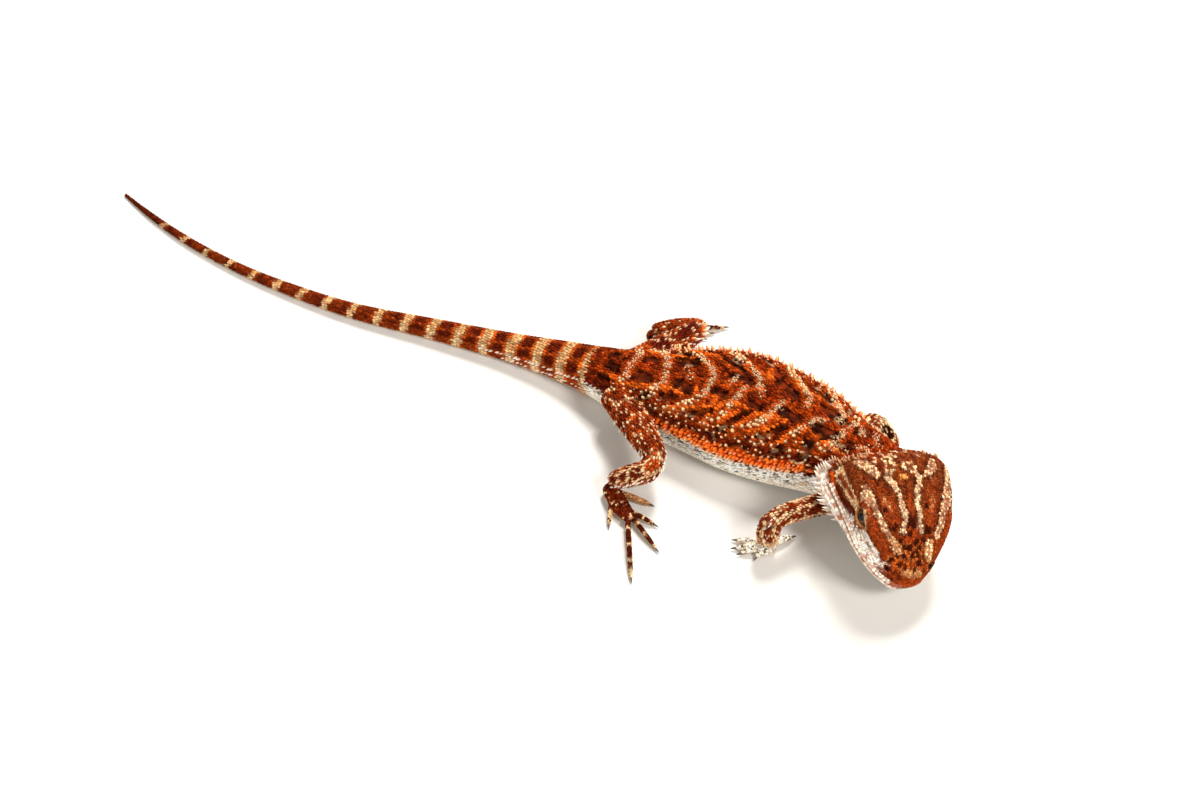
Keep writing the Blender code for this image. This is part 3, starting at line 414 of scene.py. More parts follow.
# One value or one colour for each vertex, which the materials read by its name
def putAttribute(mesh, key, values):
    values = np.asarray(values, np.float32)
    if values.ndim == 1:
        mesh.attributes.new(key, "FLOAT", "POINT").data.foreach_set("value", values)
        return
    colours = np.hstack([values, np.ones((len(values), 1), np.float32)])
    mesh.attributes.new(key, "FLOAT_COLOR", "POINT").data.foreach_set("color", colours.ravel())


def pointsOf(obj):
    points = np.zeros(len(obj.data.vertices) * 3, np.float32)
    obj.data.vertices.foreach_get("co", points)
    return points.reshape(-1, 3).astype(float) / toMetres + bodyMiddle


def setPoints(obj, points):
    placed = (points - bodyMiddle) * toMetres
    obj.data.vertices.foreach_set("co", placed.astype(np.float32).ravel())
    obj.data.update()


# A surface of rings, closed round, with a fan over each end: points and four-cornered faces
def rings(surface, us, count, period=2 * math.pi, flip=False):
    vs = np.arange(count) * period / count
    u, v = np.meshgrid(us, vs, indexing="ij")
    points = surface(u.ravel(), v.ravel())
    grid = points.reshape(len(us), count, 3)
    points = np.vstack([points, grid[0].mean(0), grid[-1].mean(0)])
    i, j = np.meshgrid(np.arange(len(us) - 1), np.arange(count), indexing="ij")
    a, b = i * count + j, i * count + (j + 1) % count
    body = np.stack([a, b, b + count, a + count], -1).reshape(-1, 4)
    j = np.arange(count)
    k = (j + 1) % count
    first, last, end = len(us) * count, len(us) * count + 1, (len(us) - 1) * count
    tris = np.vstack([np.stack([np.full(count, first), k, j], 1),
                      np.stack([np.full(count, last), end + j, end + k], 1)])
    faces = np.vstack([body[:, [0, 1, 2]], body[:, [0, 2, 3]], tris])
    return points, faces[:, ::-1] if flip else faces


# Faces of a surface closed both ways, such as a ring: count steps across and many round
def ringFaces(count, many):
    i, j = np.meshgrid(np.arange(count), np.arange(many), indexing="ij")
    p, q = i * many + j, (i + 1) % count * many + j
    r, s = (i + 1) % count * many + (j + 1) % many, i * many + (j + 1) % many
    return np.vstack([np.stack([p, q, r], -1).reshape(-1, 3), np.stack([p, r, s], -1).reshape(-1, 3)])


# Several lofts as one mesh, each turned so that its faces point outwards
def joined(parts):
    points, faces, base = [], [], 0
    for some, corners in parts:
        a, b, c = (some[corners[:, i]] for i in range(3))
        volume = (a * np.cross(b, c)).sum()
        points.append(some)
        faces.append((corners if volume > 0 else corners[:, ::-1]) + base)
        base += len(some)
    return np.vstack(points), np.vstack(faces)


eye = {
    "place": (18.6, 10.5, -4.1),  # in the head's frame, left side
    "radius": 2.9,
    "look": (0.16, 1.0, 0.26),  # the way that the eye looks out
    "long": 2.75,  # half length and half height of the opening between the lids
    "tall": 1.25,
    "tip": 14.0,  # how far the opening leans down towards the snout, in degrees
}
ear = {"place": (3.9, 16.2, -8.8), "radii": (1.3, 2.4, 1.9), "depth": 1.0}
nostril = {"place": (32.4, 6.5, -6.3), "radii": (0.62, 1.2, 0.5), "depth": 0.7}
skin = {
    "coat": 0.25,  # how far the skin lies inside the scales' outer face
    "voxel": 0.47,
    "smooth": 4,
    "groove": (0.40, 0.28),  # half height and depth of the line of the mouth
}


# The way out, the way along and the way up of one eye, in the animal's frame
def eyeAxes(side):
    out = unit(onSide(eye["look"], side))
    lean = math.radians(eye["tip"])
    along = np.array([math.cos(lean), 0, -math.sin(lean)])
    along = unit(along - out * (along @ out))
    up = np.cross(out, along) * (-side)
    return np.array([out, along, up]) @ headAxes


def eyeCentre(side):
    return fromHead(onSide(eye["place"], side))


# Where a point lies in the opening of one eye: 1 on the lids' edge, less inside it
def openingAt(points, side, grow=0.0):
    local = (points - eyeCentre(side)) @ eyeAxes(side).T
    long = (eye["long"] + grow) * head["scale"]
    tall = (eye["tall"] + grow) * head["scale"] * (1 - 0.3 * (local[:, 1] / long).clip(-1, 1) ** 2)
    level = np.sqrt((local[:, 1] / long) ** 2 + (local[:, 2] / tall) ** 2)
    return np.where(local[:, 0] > 0, level, 9.0)


# Lines on the back are given as x and turn: 90 along the spine, 0 on the left fringe, 180 on the right
markings = {
    # chains of pale tubercles, from the midline down each side
    "arms": (
        ((6.7, 90), (7.2, 116), (6.1, 128), (5.5, 142)), ((7, 88), (7.6, 66), (6.6, 50), (5.4, 38)),
        ((17, 90), (17.6, 106), (15.6, 116), (14.4, 130), (12.8, 140)),
        ((17, 88), (15.9, 68), (14, 52), (12.2, 38)),
        ((31.6, 90), (29.8, 108), (26.6, 120), (23.9, 134), (22.4, 142), (18.8, 152)),
        ((31.2, 88), (29.6, 78), (25.7, 64), (22, 50), (18.6, 38)),
        ((41.4, 92), (39.9, 108), (39, 122), (36.8, 130), (34, 136), (30.7, 146)),
        ((45.1, 90), (44.6, 80), (42.2, 75), (40.2, 69), (36.4, 58), (33, 46)),
        ((53.8, 92), (52.9, 98), (52.1, 112), (50.1, 122), (47.5, 128), (43.9, 138), (43.4, 148)),
        ((60.4, 88), (59.5, 74), (57, 70), (54.7, 63), (51, 54), (47.5, 44)),
        ((68.3, 90), (66.3, 96), (64.5, 110), (62, 122), (63.4, 132), (64.6, 142), (64, 152)),
        ((71, 84), (70.6, 70), (67, 63), (64, 54), (61, 44)), ((35.8, 93), (38.2, 88), (37.6, 84)),
        ((74.1, 89), (74.1, 100), (73.8, 110), (72.7, 121), (71.9, 136)),
        ((74.1, 86), (74, 71), (73, 52)),
    ),
    # clusters of pale tubercles on the neck
    "rosettes": ((74.6, 122), (75.8, 112), (78, 115), (81.2, 117), (82, 113), (82.7, 104), (79.3, 96),
                 (80.7, 95), (81.2, 88), (70.8, 70), (70.3, 60), (66.3, 64), (77.6, 78), (79.8, 66),
                 (82, 74), (79, 54), (75.8, 62), (80.8, 128), (77, 134), (22.8, 84), (24.6, 91),
                 (46.8, 92)),
    # bright orange ribbons that edge the lobes round the chains
    "ribbons": (
        ((6.1, 134), (10.8, 121), (14.1, 118), (17.3, 114), (20.3, 108), (23, 116), (25.4, 111),
         (27.4, 105)),
        ((20.5, 140), (24.5, 130), (28, 126), (32.5, 120), (34.3, 112), (32.8, 104)),
        ((32, 142), (34.6, 122), (37.2, 111), (45.1, 108), (44.6, 116), (41, 122), (38.5, 132)),
        ((43, 136), (46.6, 122), (48, 113), (57, 108), (57.2, 116), (53.5, 124), (48.5, 134)),
        ((59, 136), (60.5, 122), (62.6, 114), (68.4, 110), (69.4, 120), (66.6, 130)),
        ((9, 46), (12.6, 58), (18.8, 64), (22.7, 66), (26, 70), (27.4, 74)),
        ((22, 42), (27, 54), (32.5, 61), (34.3, 70)),
        ((35.5, 50), (37, 62), (39, 70), (46.5, 73), (45, 62)),
        ((49, 48), (52, 60), (55, 70), (61.5, 72), (60, 60)), ((63, 48), (65, 62), (72, 68)),
        ((0, 128), (4, 124)), ((0, 52), (4, 56)), ((70, 128), (73.5, 118), (77, 122)),
    ),
    # dark brown blotches and streaks: line and half width in mm
    "darks": (
        (((10.2, 106), (12.6, 106)), 1.5), (((21.5, 103), (25, 106)), 1.5),
        (((21.5, 74), (25, 74)), 1.5), (((10.4, 74), (12.4, 74)), 1.3),
        (((32.4, 101), (36.4, 104)), 1.1), (((44.6, 104), (48.4, 107)), 1.1),
        (((38.8, 142), (41, 133), (43.6, 122), (46.2, 113)), 0.95),
        (((27, 137), (30.5, 130), (33.5, 124)), 0.95), (((18.4, 127), (21.6, 124)), 1.3),
        (((12.2, 137), (14.4, 133)), 1), (((54.4, 100), (60.6, 104)), 1.35),
        (((58.2, 117), (54.8, 127), (52.4, 138)), 1), (((68, 106), (73.4, 102)), 1.4),
        (((36, 83), (42.4, 86)), 1.1), (((49.4, 72), (53, 77), (56.2, 84)), 1.35),
        (((57.8, 52), (64.2, 62)), 1.35), (((64.6, 79), (72, 80)), 1.25),
        (((32.6, 61), (36.6, 66)), 1.2), (((67.6, 130), (68.4, 144), (67.4, 156)), 1.1),
        (((70.4, 166), (71.8, 184)), 2), (((45.5, 156), (49.2, 161)), 1.2), (((27, 44), (30.8, 52)), 1),
        (((18.4, 52), (22, 57)), 1.2), (((42.6, 44), (47, 60), (49, 68)), 1),
        (((12, 44), (14.4, 47)), 1), (((46, 24), (50, 19)), 1.2), (((70.4, 103), (71.4, 109)), 1.5),
        (((77.2, 101), (78, 108)), 1.3), (((76.4, 76), (77.2, 62)), 1.2),
        (((64.2, 80), (67.8, 76), (70.8, 78), (72.6, 77)), 0.9),
        (((69.6, 127), (69.6, 144), (69.1, 157), (68.4, 174)), 1.3), (((22.7, 72), (19.5, 70)), 1),
        (((34, 67), (36.9, 72), (41, 83)), 0.8), (((1, 104), (3, 104)), 1.3), (((1, 76), (3, 76)), 1.3),
        (((0, 134), (2.4, 134)), 1), (((0, 46), (2.4, 46)), 1), (((58, 152), (60.4, 144)), 1.3),
        (((26, 160), (31, 158)), 1.1), (((35, 150), (37.4, 156)), 1),
    ),
    # folds of loose skin behind the shoulders and across the neck, and how deep each one is; the trunk's
    # colours lay a painted shade along them
    "folds": (
        (((69.8, 112), (69.7, 129), (69.6, 144), (69.1, 157), (68.4, 174)), 0.9),
        (((70, 62), (69.6, 46), (68.8, 24)), 0.8), (((76.8, 126), (75.6, 116), (76.4, 104)), 0.55),
        (((77.4, 70), (76.2, 58)), 0.5), (((64, 160), (60, 167), (54, 169), (46, 168)), 0.5),
        (((10, 146), (14, 150), (20, 160)), 0.6),
    ),
    "tailFirst": -5,
    "tailStep": 8.58,  # between the pale bands of the tail
}


# Distance from each point to a line of points
def fromLine(points, line):
    line = np.asarray(line, float)
    best = np.full(len(points), 99.0)
    for a, b in zip(line, line[1:]):
        t = (((points - a) @ (b - a)) / ((b - a) @ (b - a) + 1e-9)).clip(0, 1)
        best = np.minimum(best, lengths(points - a - t[:, None] * (b - a)))
    return best


# A line of x and turn laid on the skin of the trunk, with points some tenths of a mm apart
def onTrunk(line):
    line = np.array(line, float)
    at = np.linspace(0, len(line) - 1, 26 * len(line))
    x, turn = (np.interp(at, np.arange(len(line)), column) for column in line.T)
    return trunkSkin(wayAt(x), np.radians(turn))


# Lines on the trunk as one tree of points, with the half width or depth of each line
def track(lines, widths):
    paths = [onTrunk(line) for line in lines]
    return treeOf(np.vstack(paths)), np.repeat(widths, [len(p) for p in paths])


# Distance from each point to the nearest line, and that line's width
def nearest(points, lines):
    tree, widths = lines
    found = [tree.find(p) for p in points.tolist()]
    return np.array([f[2] for f in found]), widths[[f[1] for f in found]]


tracks = {name: track(markings[name], np.ones(len(markings[name]))) for name in ("arms", "ribbons")}
tracks |= {name: track(*zip(*markings[name])) for name in ("darks", "folds")}


# How far inside a stripe of changing width each point lies, in mm: its rows are x, y and half width
def inStripe(points, line):
    line = np.asarray(line, float)
    best = np.full(len(points), -99.0)
    for a, b in zip(line, line[1:]):
        t = (((points - a[:2]) @ (b - a)[:2]) / ((b - a)[:2] @ (b - a)[:2] + 1e-9)).clip(0, 1)
        away = lengths(points - a[:2] - t[:, None] * (b - a)[:2])
        best = np.maximum(best, a[2] + t * (b[2] - a[2]) - away)
    return best


face = {
    # stripes on top of the head: rows of x, y and half width, and the colour inside the pale edge
    "stripes": (
        (((4.5, -12.1, 0.9), (5.4, -10.7, 1.5), (7.1, -9.3, 1.6), (8.6, -7.7, 1)), "mauve"),
        (((5.2, 9.7, 0.9), (6.8, 9.2, 1.35), (8.6, 7.7, 1.2), (9.2, 6.3, 0.7)), "mauve"),
        (((11.9, -11.7, 0.9), (13.8, -11.8, 1.6), (15.7, -11.2, 1.4), (17.5, -10.3, 0.85),
          (19.3, -9.8, 0.75), (21.7, -8.8, 0.8), (23.5, -7.9, 0.7), (24.9, -7.2, 0.6)), "mauve"),
        (((26, -6.2, 0.7), (27.4, -5.6, 1.1), (28.8, -4.6, 0.9)), "tan"),
        (((9.6, -5.4, 0.7), (11.4, -3.8, 0.85), (13.6, -2.9, 0.6), (15.7, -2.4, 0.65),
          (17.8, -2.1, 0.7), (19.9, -1.9, 0.8), (22, -2.1, 0.65), (24.2, -3, 0.7)), "grey"),
        (((10, 4.3, 0.85), (11.6, 4, 0.85), (13.7, 2.8, 0.6), (16.1, 2.5, 0.65), (18.2, 2.4, 0.7),
          (20.3, 2.4, 0.75), (22.4, 2.3, 0.55), (24.4, 2.5, 0.65)), "grey"),
        (((7.3, 14, 0.8), (9, 13.9, 1.1), (11, 13.4, 1.15), (13.6, 12.6, 1.2), (15.8, 11.9, 1.35),
          (18.1, 10.7, 1.1), (20.1, 9.6, 0.9), (22.2, 8.8, 0.95), (23.9, 7.9, 0.75), (25.6, 7.2, 0.6)),
          "mauve"),
        (((26.8, 5.3, 0.7), (28.6, 4.5, 1.35), (30.2, 4.4, 1.35), (31.4, 4.7, 0.8)), "tan"),
    ),
    # hollow red-brown ovals of the brow
    "hollows": (((12.8, -7.9, 1.1), (15.6, -6.6, 2), (18.4, -5.2, 1.5), (20.7, -4.7, 0.8)),
                ((12.8, 7.8, 1.1), (15.6, 7.7, 2), (18.6, 6.6, 1.6), (21, 5.8, 0.9))),
    # plain bands: rows of x, y and half width, and colour
    "bands": (
        (((16.8, -12.6, 0.8), (19.3, -11.5, 1.2), (23, -10.2, 1.3), (26.1, -8.8, 1.4),
          (29.4, -7.4, 1.2)), "brick"),
        (((16.8, 13.2, 0.6), (19.2, 12.1, 1), (22.1, 11, 1.2), (26.3, 9, 1.4), (30.3, 7.4, 1.2)),
          "brick"),
        (((12.3, 0.6, 0.5), (16.1, 0.4, 0.75), (19.1, 0.2, 0.6)), "brick"),
        (((24.5, 0, 1.8), (28.5, 0, 3), (32, -0.4, 3.6)), "brick"),
        (((31.6, -5.2, 0.8), (32.2, -3.4, 0.9), (32.2, -1.8, 0.7)), "orange"),
        (((33.9, -2.2, 0.8), (34.6, 0, 1), (34.6, 2.2, 0.8)), "tan"),
    ),
    # dark spots as x, y and radius
    "spots": ((26.4, -3.9, 0.42), (28.2, -1.3, 0.5), (30.4, -0.4, 0.5), (32.1, -3.8, 0.5),
              (32.9, -2.4, 0.45), (32, 1.6, 0.5), (32.7, 5.4, 0.45), (30.8, -6.4, 0.5),
              (26.6, 2.9, 0.45), (26.6, 1, 0.4), (28.1, -2.9, 0.45), (24.1, 4.4, 0.7),
              (21.7, -0.2, 0.75), (22.7, -4.8, 0.45), (23.5, -5.8, 0.45), (30.4, -2.7, 0.4),
              (22.9, 0.4, 0.6), (28.4, 1.8, 0.45), (30.6, 1.6, 0.4), (29.4, 0.6, 0.35),
              (24.8, -0.9, 0.45), (27.4, 0.3, 0.4), (33.6, 0.4, 0.35), (18.3, -7.2, 0.5),
              (17.6, 5, 0.5)),
    # pale scales of the two rosettes and of the nape
    "dots": ((6.3, -4.9, 0.5), (5.3, -4.2, 0.5), (5.4, -2.9, 0.5), (6.3, -2.3, 0.45), (7.6, -2.7, 0.5),
             (8.2, -3.8, 0.5), (7.7, -4.8, 0.45), (5.9, 0.6, 0.45), (5.7, 1.9, 0.5), (6.1, 3, 0.5),
             (7.2, 3.6, 0.5), (8.2, 2.5, 0.5), (7.8, 1.2, 0.45), (7.2, 0.3, 0.4), (8.5, 3.6, 0.5),
             (2.9, -11.2, 0.5), (2.5, -9.2, 0.5), (0.9, -9.4, 0.6), (0.9, -8, 0.6), (1.3, -6.6, 0.55),
             (3.6, -3.5, 0.5), (4.4, -2.5, 0.45), (2.8, -1.8, 0.5), (3.8, -1, 0.5), (3.7, -6.8, 0.45),
             (4.2, -5.2, 0.45), (2.2, -4.6, 0.5), (1.6, 0.8, 0.5), (2, 3.4, 0.45), (1.8, 9.4, 0.5),
             (5, -7.6, 0.4), (3.4, 6.2, 0.45)),
    # where the brown of the crown ends on the nape: y and x
    "rear": ((-16, 3), (-11.9, 2.4), (-9.1, 3.8), (-5.6, 4.6), (-2.4, 3.4), (2.3, 0.8), (7.1, 0.2),
             (11.8, 0.4), (16, 1)),
    # stripes on the side of the face as x, side and height, then half width and colour
    "lines": (
        (((6, 14.8, -6.9), (8.5, 14.9, -5.9), (11, 14.6, -4.9), (13.5, 14.2, -4), (15, 13.8, -3.8)),
          2.05, "cream"),
        (((6.8, 15, -6.7), (8.8, 15, -5.8), (11, 14.7, -4.8), (13, 14.2, -4.1)), 1.05, "brick"),
        (((9, 15.5, -9.5), (12, 15, -8.8), (14.2, 14.5, -7.9), (16.2, 13.8, -6.8), (17.4, 13.8, -6)),
          1.1, "maroon"),
        (((4.6, 16, -9.8), (7.9, 16.2, -9.9), (9.9, 16.1, -10.2), (13, 15.6, -10.3)), 0.85, "fire"),
        (((8.8, 15.8, -10.4), (12, 15.6, -10), (15.5, 14.8, -9.2)), 0.3, "cream"),
        (((12.4, 15.8, -10.1), (15.5, 15.2, -9.3), (19.5, 14.2, -8.2), (23, 13.2, -7.6)), 0.5, "pink"),
        (((22.4, 12.4, -5), (24.8, 11.5, -5.1), (28.6, 9.8, -5.3)), 0.8, "white"),
        (((22.8, 12.3, -5.7), (24.8, 11.5, -5.9), (27, 10.6, -6)), 0.34, "dark"),
    ),
    "thirdEye": (9.7, -0.3),
}


# All flesh as one skin: lofts a little inside the solids, fused by a remesh and smoothed
def buildSkin():
    thin = skin["coat"]
    parts = []

    def trunkInside(way, turn):
        here = smoothly(trunkKnots, trunkRows, way)[:, 3]
        return trunkSkin(way, turn, -np.minimum(thin, 0.16 * here))

    parts.append(rings(trunkInside, np.linspace(0.4, trunkKnots[-1], 420), 88))
    swing = np.cos(np.linspace(math.pi, 0, 70))
    xs = 18.1 + 18.9 * swing
    parts.append(rings(lambda x, t: headSkin(x, t, -thin), xs, 96, 2.0))
    for side in (1, -1):
        axes, centre = eyeAxes(side), eyeCentre(side)

        def ball(u, v, axes=axes, centre=centre):
            r = (eye["radius"] + 0.45) * head["scale"]
            flat = np.stack([np.cos(u), np.sin(u) * np.cos(v), np.sin(u) * np.sin(v)], 1)
            return centre + flat * [r, r, r * 0.92] @ axes

        parts.append(rings(ball, np.linspace(0.05, 3.09, 24), 36))
    for name in legs["points"]:
        leg, flat = legTube(name), pawTube(name)
        parts.append(rings(lambda u, v: tubeSkin(leg, u, v, -thin), np.linspace(0, 1, 90), 36))
        parts.append(rings(lambda u, v: tubeSkin(flat, u, v, -thin, 0.3), np.linspace(0, 1, 30), 30))
        for row in legs["digits"][name]:
            toe = digitTube(row)
            parts.append(rings(lambda u, v: tubeSkin(toe, u, v, -0.12), np.linspace(0, 1, 28), 18))
    flesh = newMesh("skin", *joined(parts))
    remesh = flesh.modifiers.new("fuse", "REMESH")
    remesh.mode = "VOXEL"
    remesh.voxel_size = skin["voxel"] * toMetres
    soft = flesh.modifiers.new("soften", "SMOOTH")
    soft.factor = 0.5
    soft.iterations = skin["smooth"]
    graph = bpy.context.evaluated_depsgraph_get()
    fused = bpy.data.meshes.new_from_object(flesh.evaluated_get(graph))
    flesh.modifiers.clear()
    flesh.data = fused
    print("skin", len(fused.vertices), "vertices")
    return flesh


# Relief of the skin in mm: on the trunk the lobes and pale chains stand up and the dark streaks are
# folds; on the head the stripes are low ridges and the brow's ovals are hollow
def relief(points):
    lobe = nearest(points, tracks["arms"])[0]
    ribbon = nearest(points, tracks["ribbons"])[0]
    away, wide = nearest(points, tracks["darks"])
    height = 0.30 * ramp(-lobe, -1.9, -0.5) + 0.34 * ramp(-ribbon, -1.3, -0.2)
    height -= 0.42 * ramp(wide - away, -0.6, 0.5)
    away, wide = nearest(points, tracks["folds"])
    height -= wide * ramp(-away, -1.7, -0.1)
    height *= ramp(points[:, 0], -4, 2) * ramp(points[:, 2], 4.0, 7.0)
    local = inHead(points)
    onHead = (local[:, 0] > 1) & (local[:, 0] < 37) & (local[:, 2] > -9) & (np.abs(local[:, 1]) < 17)
    ridge = np.max([inStripe(local[:, :2], line) for line, colour in face["stripes"]], 0)
    hollow = np.max([inStripe(local[:, :2], line) for line in face["hollows"]], 0)
    rise = 0.22 * ramp(ridge, -0.6, 0.6) - 0.50 * ramp(hollow, -0.8, 1.2)
    return np.where(onHead, rise * ramp(local[:, 2], -5.5, -3.5), np.where(local[:, 0] > -2, 0.0, height))


# Features pressed into the skin: the openings of the eyes, the mouth's line, nostrils and ears
def pressFeatures(flesh):
    points = pointsOf(flesh)
    normals = np.zeros(len(points) * 3, np.float32)
    flesh.data.vertex_normals.foreach_get("vector", normals)
    points = points + normals.reshape(-1, 3) * relief(points)[:, None]
    local = inHead(points)
    x, y, z = local.T
    ahead = (x > 5) & (x < 38) & (np.abs(y) < 19) & (z > -25) & (z < 3)
    high, deep = skin["groove"]
    off = local[:, 2] - mouthHeight(local[:, 0])
    weight = ramp(-np.abs(off), -high, 0) * ramp(local[:, 0], 6.0, 8.5) * ahead
    inward = unit(np.column_stack([8.0 - 0.5 * local[:, 0], -local[:, 1], np.zeros(len(local))]))
    local = local + inward * (weight * deep)[:, None]
    for side in (1, -1):
        for hole in (ear, nostril):
            away = (local - onSide(hole["place"], side)) / hole["radii"]
            near = ramp(-lengths(away), -1.0, -0.55)
            local[:, 1] -= side * near * hole["depth"]
    x, y, z = local.T
    onHead = ahead | (x > -2) & (np.abs(y) < 19) & (z > -24) & (z < 4)
    points = np.where(onHead[:, None], fromHead(local), points)
    for side in (1, -1):
        inside = openingAt(points, side, 0.35) < 1
        centre = eyeCentre(side)
        away = points[inside] - centre
        points[inside] = centre + unit(away) * np.minimum(lengths(away), 2.35)[:, None]
    points[:, 2] = np.maximum(points[:, 2], 0.12)
    setPoints(flesh, points)
    flesh.data.shade_smooth()


flesh = buildSkin()
pressFeatures(flesh)
skinPoints = pointsOf(flesh)
skinTree = BVHTree.FromPolygons(skinPoints.tolist(), [tuple(p.vertices) for p in flesh.data.polygons])


# Rows of scales over a surface at even steps of length: u along, v around. pitch and width give the
# spacing along and across, as numbers or functions of u. Every other row is shifted by half a scale.
def rowsOver(surface, ends, span, pitch, width, closed=False):
    pitch, width = (f if callable(f) else lambda u, f=f: f + 0 * u for f in (pitch, width))
    fine = np.linspace(ends[0], ends[1], 600)
    probes = np.linspace(span[0], span[1], 9)[: 8 if closed else 9]
    steps = [lengths(np.diff(surface(fine, np.full(600, v)), axis=0)) for v in probes]
    walked = np.append(0, np.cumsum(np.mean(steps, 0) / pitch((fine[1:] + fine[:-1]) / 2)))
    rows = np.interp(np.arange(0.5, walked[-1], 1.0), walked, fine)
    found = []
    for k, u in enumerate(rows):
        v = np.linspace(span[0], span[1], 241)
        arc = walk(surface(np.full(241, u), v))
        step = width(np.array([u]))[0]
        count = max(5 if closed else 1, int(round(arc[-1] / step)))
        here = (np.arange(count) + 0.25 + 0.5 * (k % 2)) / count
        gaps = np.tile([arc[-1] / count, pitch(np.array([u]))[0]], (count, 1))
        found.append(np.column_stack([np.full(count, u), np.interp(here * arc[-1], arc, v), gaps]))
    return np.vstack(found)


# Place, outward way and lie of each scale of a surface. lie is 1 where scales point up the
# surface's own u, and -1 where they point down it.
def spotsOn(surface, u, v, lie, du, dv, rows=None, chance=0.17):
    here = surface(u, v)
    ahead = unit(surface(u + du, v) - surface(u - du, v)) * lie
    around = surface(u, v + dv) - surface(u, v - dv)
    out = unit(np.cross(ahead, around))
    grown = surface(u, v, 0.5) - here
    out = out * np.where((out * grown).sum(1) < 0, -1.0, 1.0)[:, None]
    if rows is None:
        return here, out, ahead
    side = np.cross(out, ahead)
    shift = draw.normal(0, chance, (len(here), 2)).clip(-0.4, 0.4) * rows[:, [3, 2]]
    here = here + ahead * shift[:, :1] + side * shift[:, 1:]
    swing = draw.normal(0, 0.13, (len(here), 1))
    return here, out, unit(ahead + side * swing)


# Roots set down on the real skin. Those that lie inside another part of the body are dropped.
def settle(here, out, ahead, limit=0.62):
    found = [skinTree.find_nearest(p, 3.0) for p in here.tolist()]
    far = np.array([9.0 if f[0] is None else f[3] for f in found])
    spot = np.array([p if f[0] is None else f[0] for p, f in zip(here, found)])
    face = np.array([o if f[0] is None else f[1] for o, f in zip(out, found)])
    keep = (far < limit) & ((face * out).sum(1) > 0.2)
    out = unit(out + 0.6 * face)
    ahead = unit(ahead - out * (ahead * out).sum(1, keepdims=True))
    return spot, out, ahead, keep


# Templates of one scale, about 1 long, 1 wide and 1 tall: points, three-cornered faces and how
# high each point stands. x runs to the tip, z out of the skin.
def keeled():
    top = [(-0.50, 0.28, 0.05), (-0.05, 0.52, 0.24), (0.36, 0.30, 0.36), (0.62, 0.0, 0.55),
           (0.36, -0.30, 0.36), (-0.05, -0.52, 0.24), (-0.50, -0.28, 0.05)]
    under = [(x * 0.9 - 0.02, y * 0.92, -0.55) for x, y, z in top]
    under[3] = (0.42, 0.0, -0.35)
    keel = [(-0.38, 0.0, 0.30), (0.20, 0.0, 0.95)]
    points = np.array(top + under + keel)
    a, b, c, t, c2, b2, a2 = range(7)
    faces = [(a, 14, b), (b, 14, 15), (b, 15, c), (c, 15, t), (t, 15, c2), (c2, 15, b2), (b2, 15, 14),
             (b2, 14, a2), (a2, 14, a)]
    for i in range(7):
        j = (i + 1) % 7
        faces += [(i, j, 7 + j), (i, 7 + j, 7 + i)]
    faces += [(7, 7 + i, 8 + i) for i in range(1, 6)]
    rise = np.concatenate([np.linspace(0.2, 0.5, 4), [0.4, 0.3, 0.2], np.zeros(7), [0.6, 1.0]])
    return points, np.array(faces), rise


# A dome on a ring of sides: rows are radius, height and forward shift, from the foot to the tip
def dome(sides, rows, oval=1.0, dark=1.0):
    turn = np.arange(sides) * 2 * math.pi / sides + math.pi / sides
    points = [np.stack([np.cos(turn) * r * oval + s, np.sin(turn) * r, np.full(sides, z)], 1)
              for r, z, s in rows[:-1]]
    tip = np.array([[rows[-1][2], 0.0, rows[-1][1]]])
    points = np.vstack(points + [tip])
    faces = []
    for i in range(len(rows) - 2):
        for j in range(sides):
            k = (j + 1) % sides
            faces += [(i * sides + j, i * sides + k, (i + 1) * sides + k),
                      (i * sides + j, (i + 1) * sides + k, (i + 1) * sides + j)]
    last = (len(rows) - 2) * sides
    faces += [(last + j, last + (j + 1) % sides, len(points) - 1) for j in range(sides)]
    faces += [(0, j + 1, j) for j in range(1, sides - 1)]
    # rise drives the painted shade and painted highlight of the scale finishes; a dark above 1 widens the
    # painted shade round the foot
    rise = ((points[:, 2] - rows[0][1]) / (rows[-1][1] - rows[0][1])) ** dark
    return points, np.array(faces), rise


templates = {
    "keeled": keeled(),
    "granule": dome(6, ((0.50, -0.5, 0.0), (0.47, 0.25, 0.0), (0.0, 0.62, 0.04))),
    "plate": dome(6, ((0.54, -0.5, 0.0), (0.50, 0.30, 0.0), (0.0, 0.52, 0.0))),
    "bead": dome(8, ((0.50, -0.5, 0.0), (0.50, 0.1, 0.0), (0.38, 0.52, 0.05), (0.16, 0.86, 0.1),
                     (0.0, 1.0, 0.16)), 1.0, 2.2),
    "spine": dome(6, ((0.50, -0.5, 0.0), (0.44, 0.1, 0.0), (0.26, 0.50, 0.10), (0.11, 0.82, 0.26),
                      (0.0, 1.0, 0.38))),
    "cone": dome(6, ((0.54, -0.5, 0.0), (0.50, 0.12, 0.0), (0.30, 0.58, 0.05), (0.0, 1.0, 0.12))),
    "lip": dome(8, ((0.52, -0.5, 0.0), (0.54, 0.14, 0.0), (0.42, 0.42, 0.0), (0.0, 0.50, 0.0))),
}
coatPieces = []


def pick(mask, *arrays):
    return [values[mask] for values in arrays]


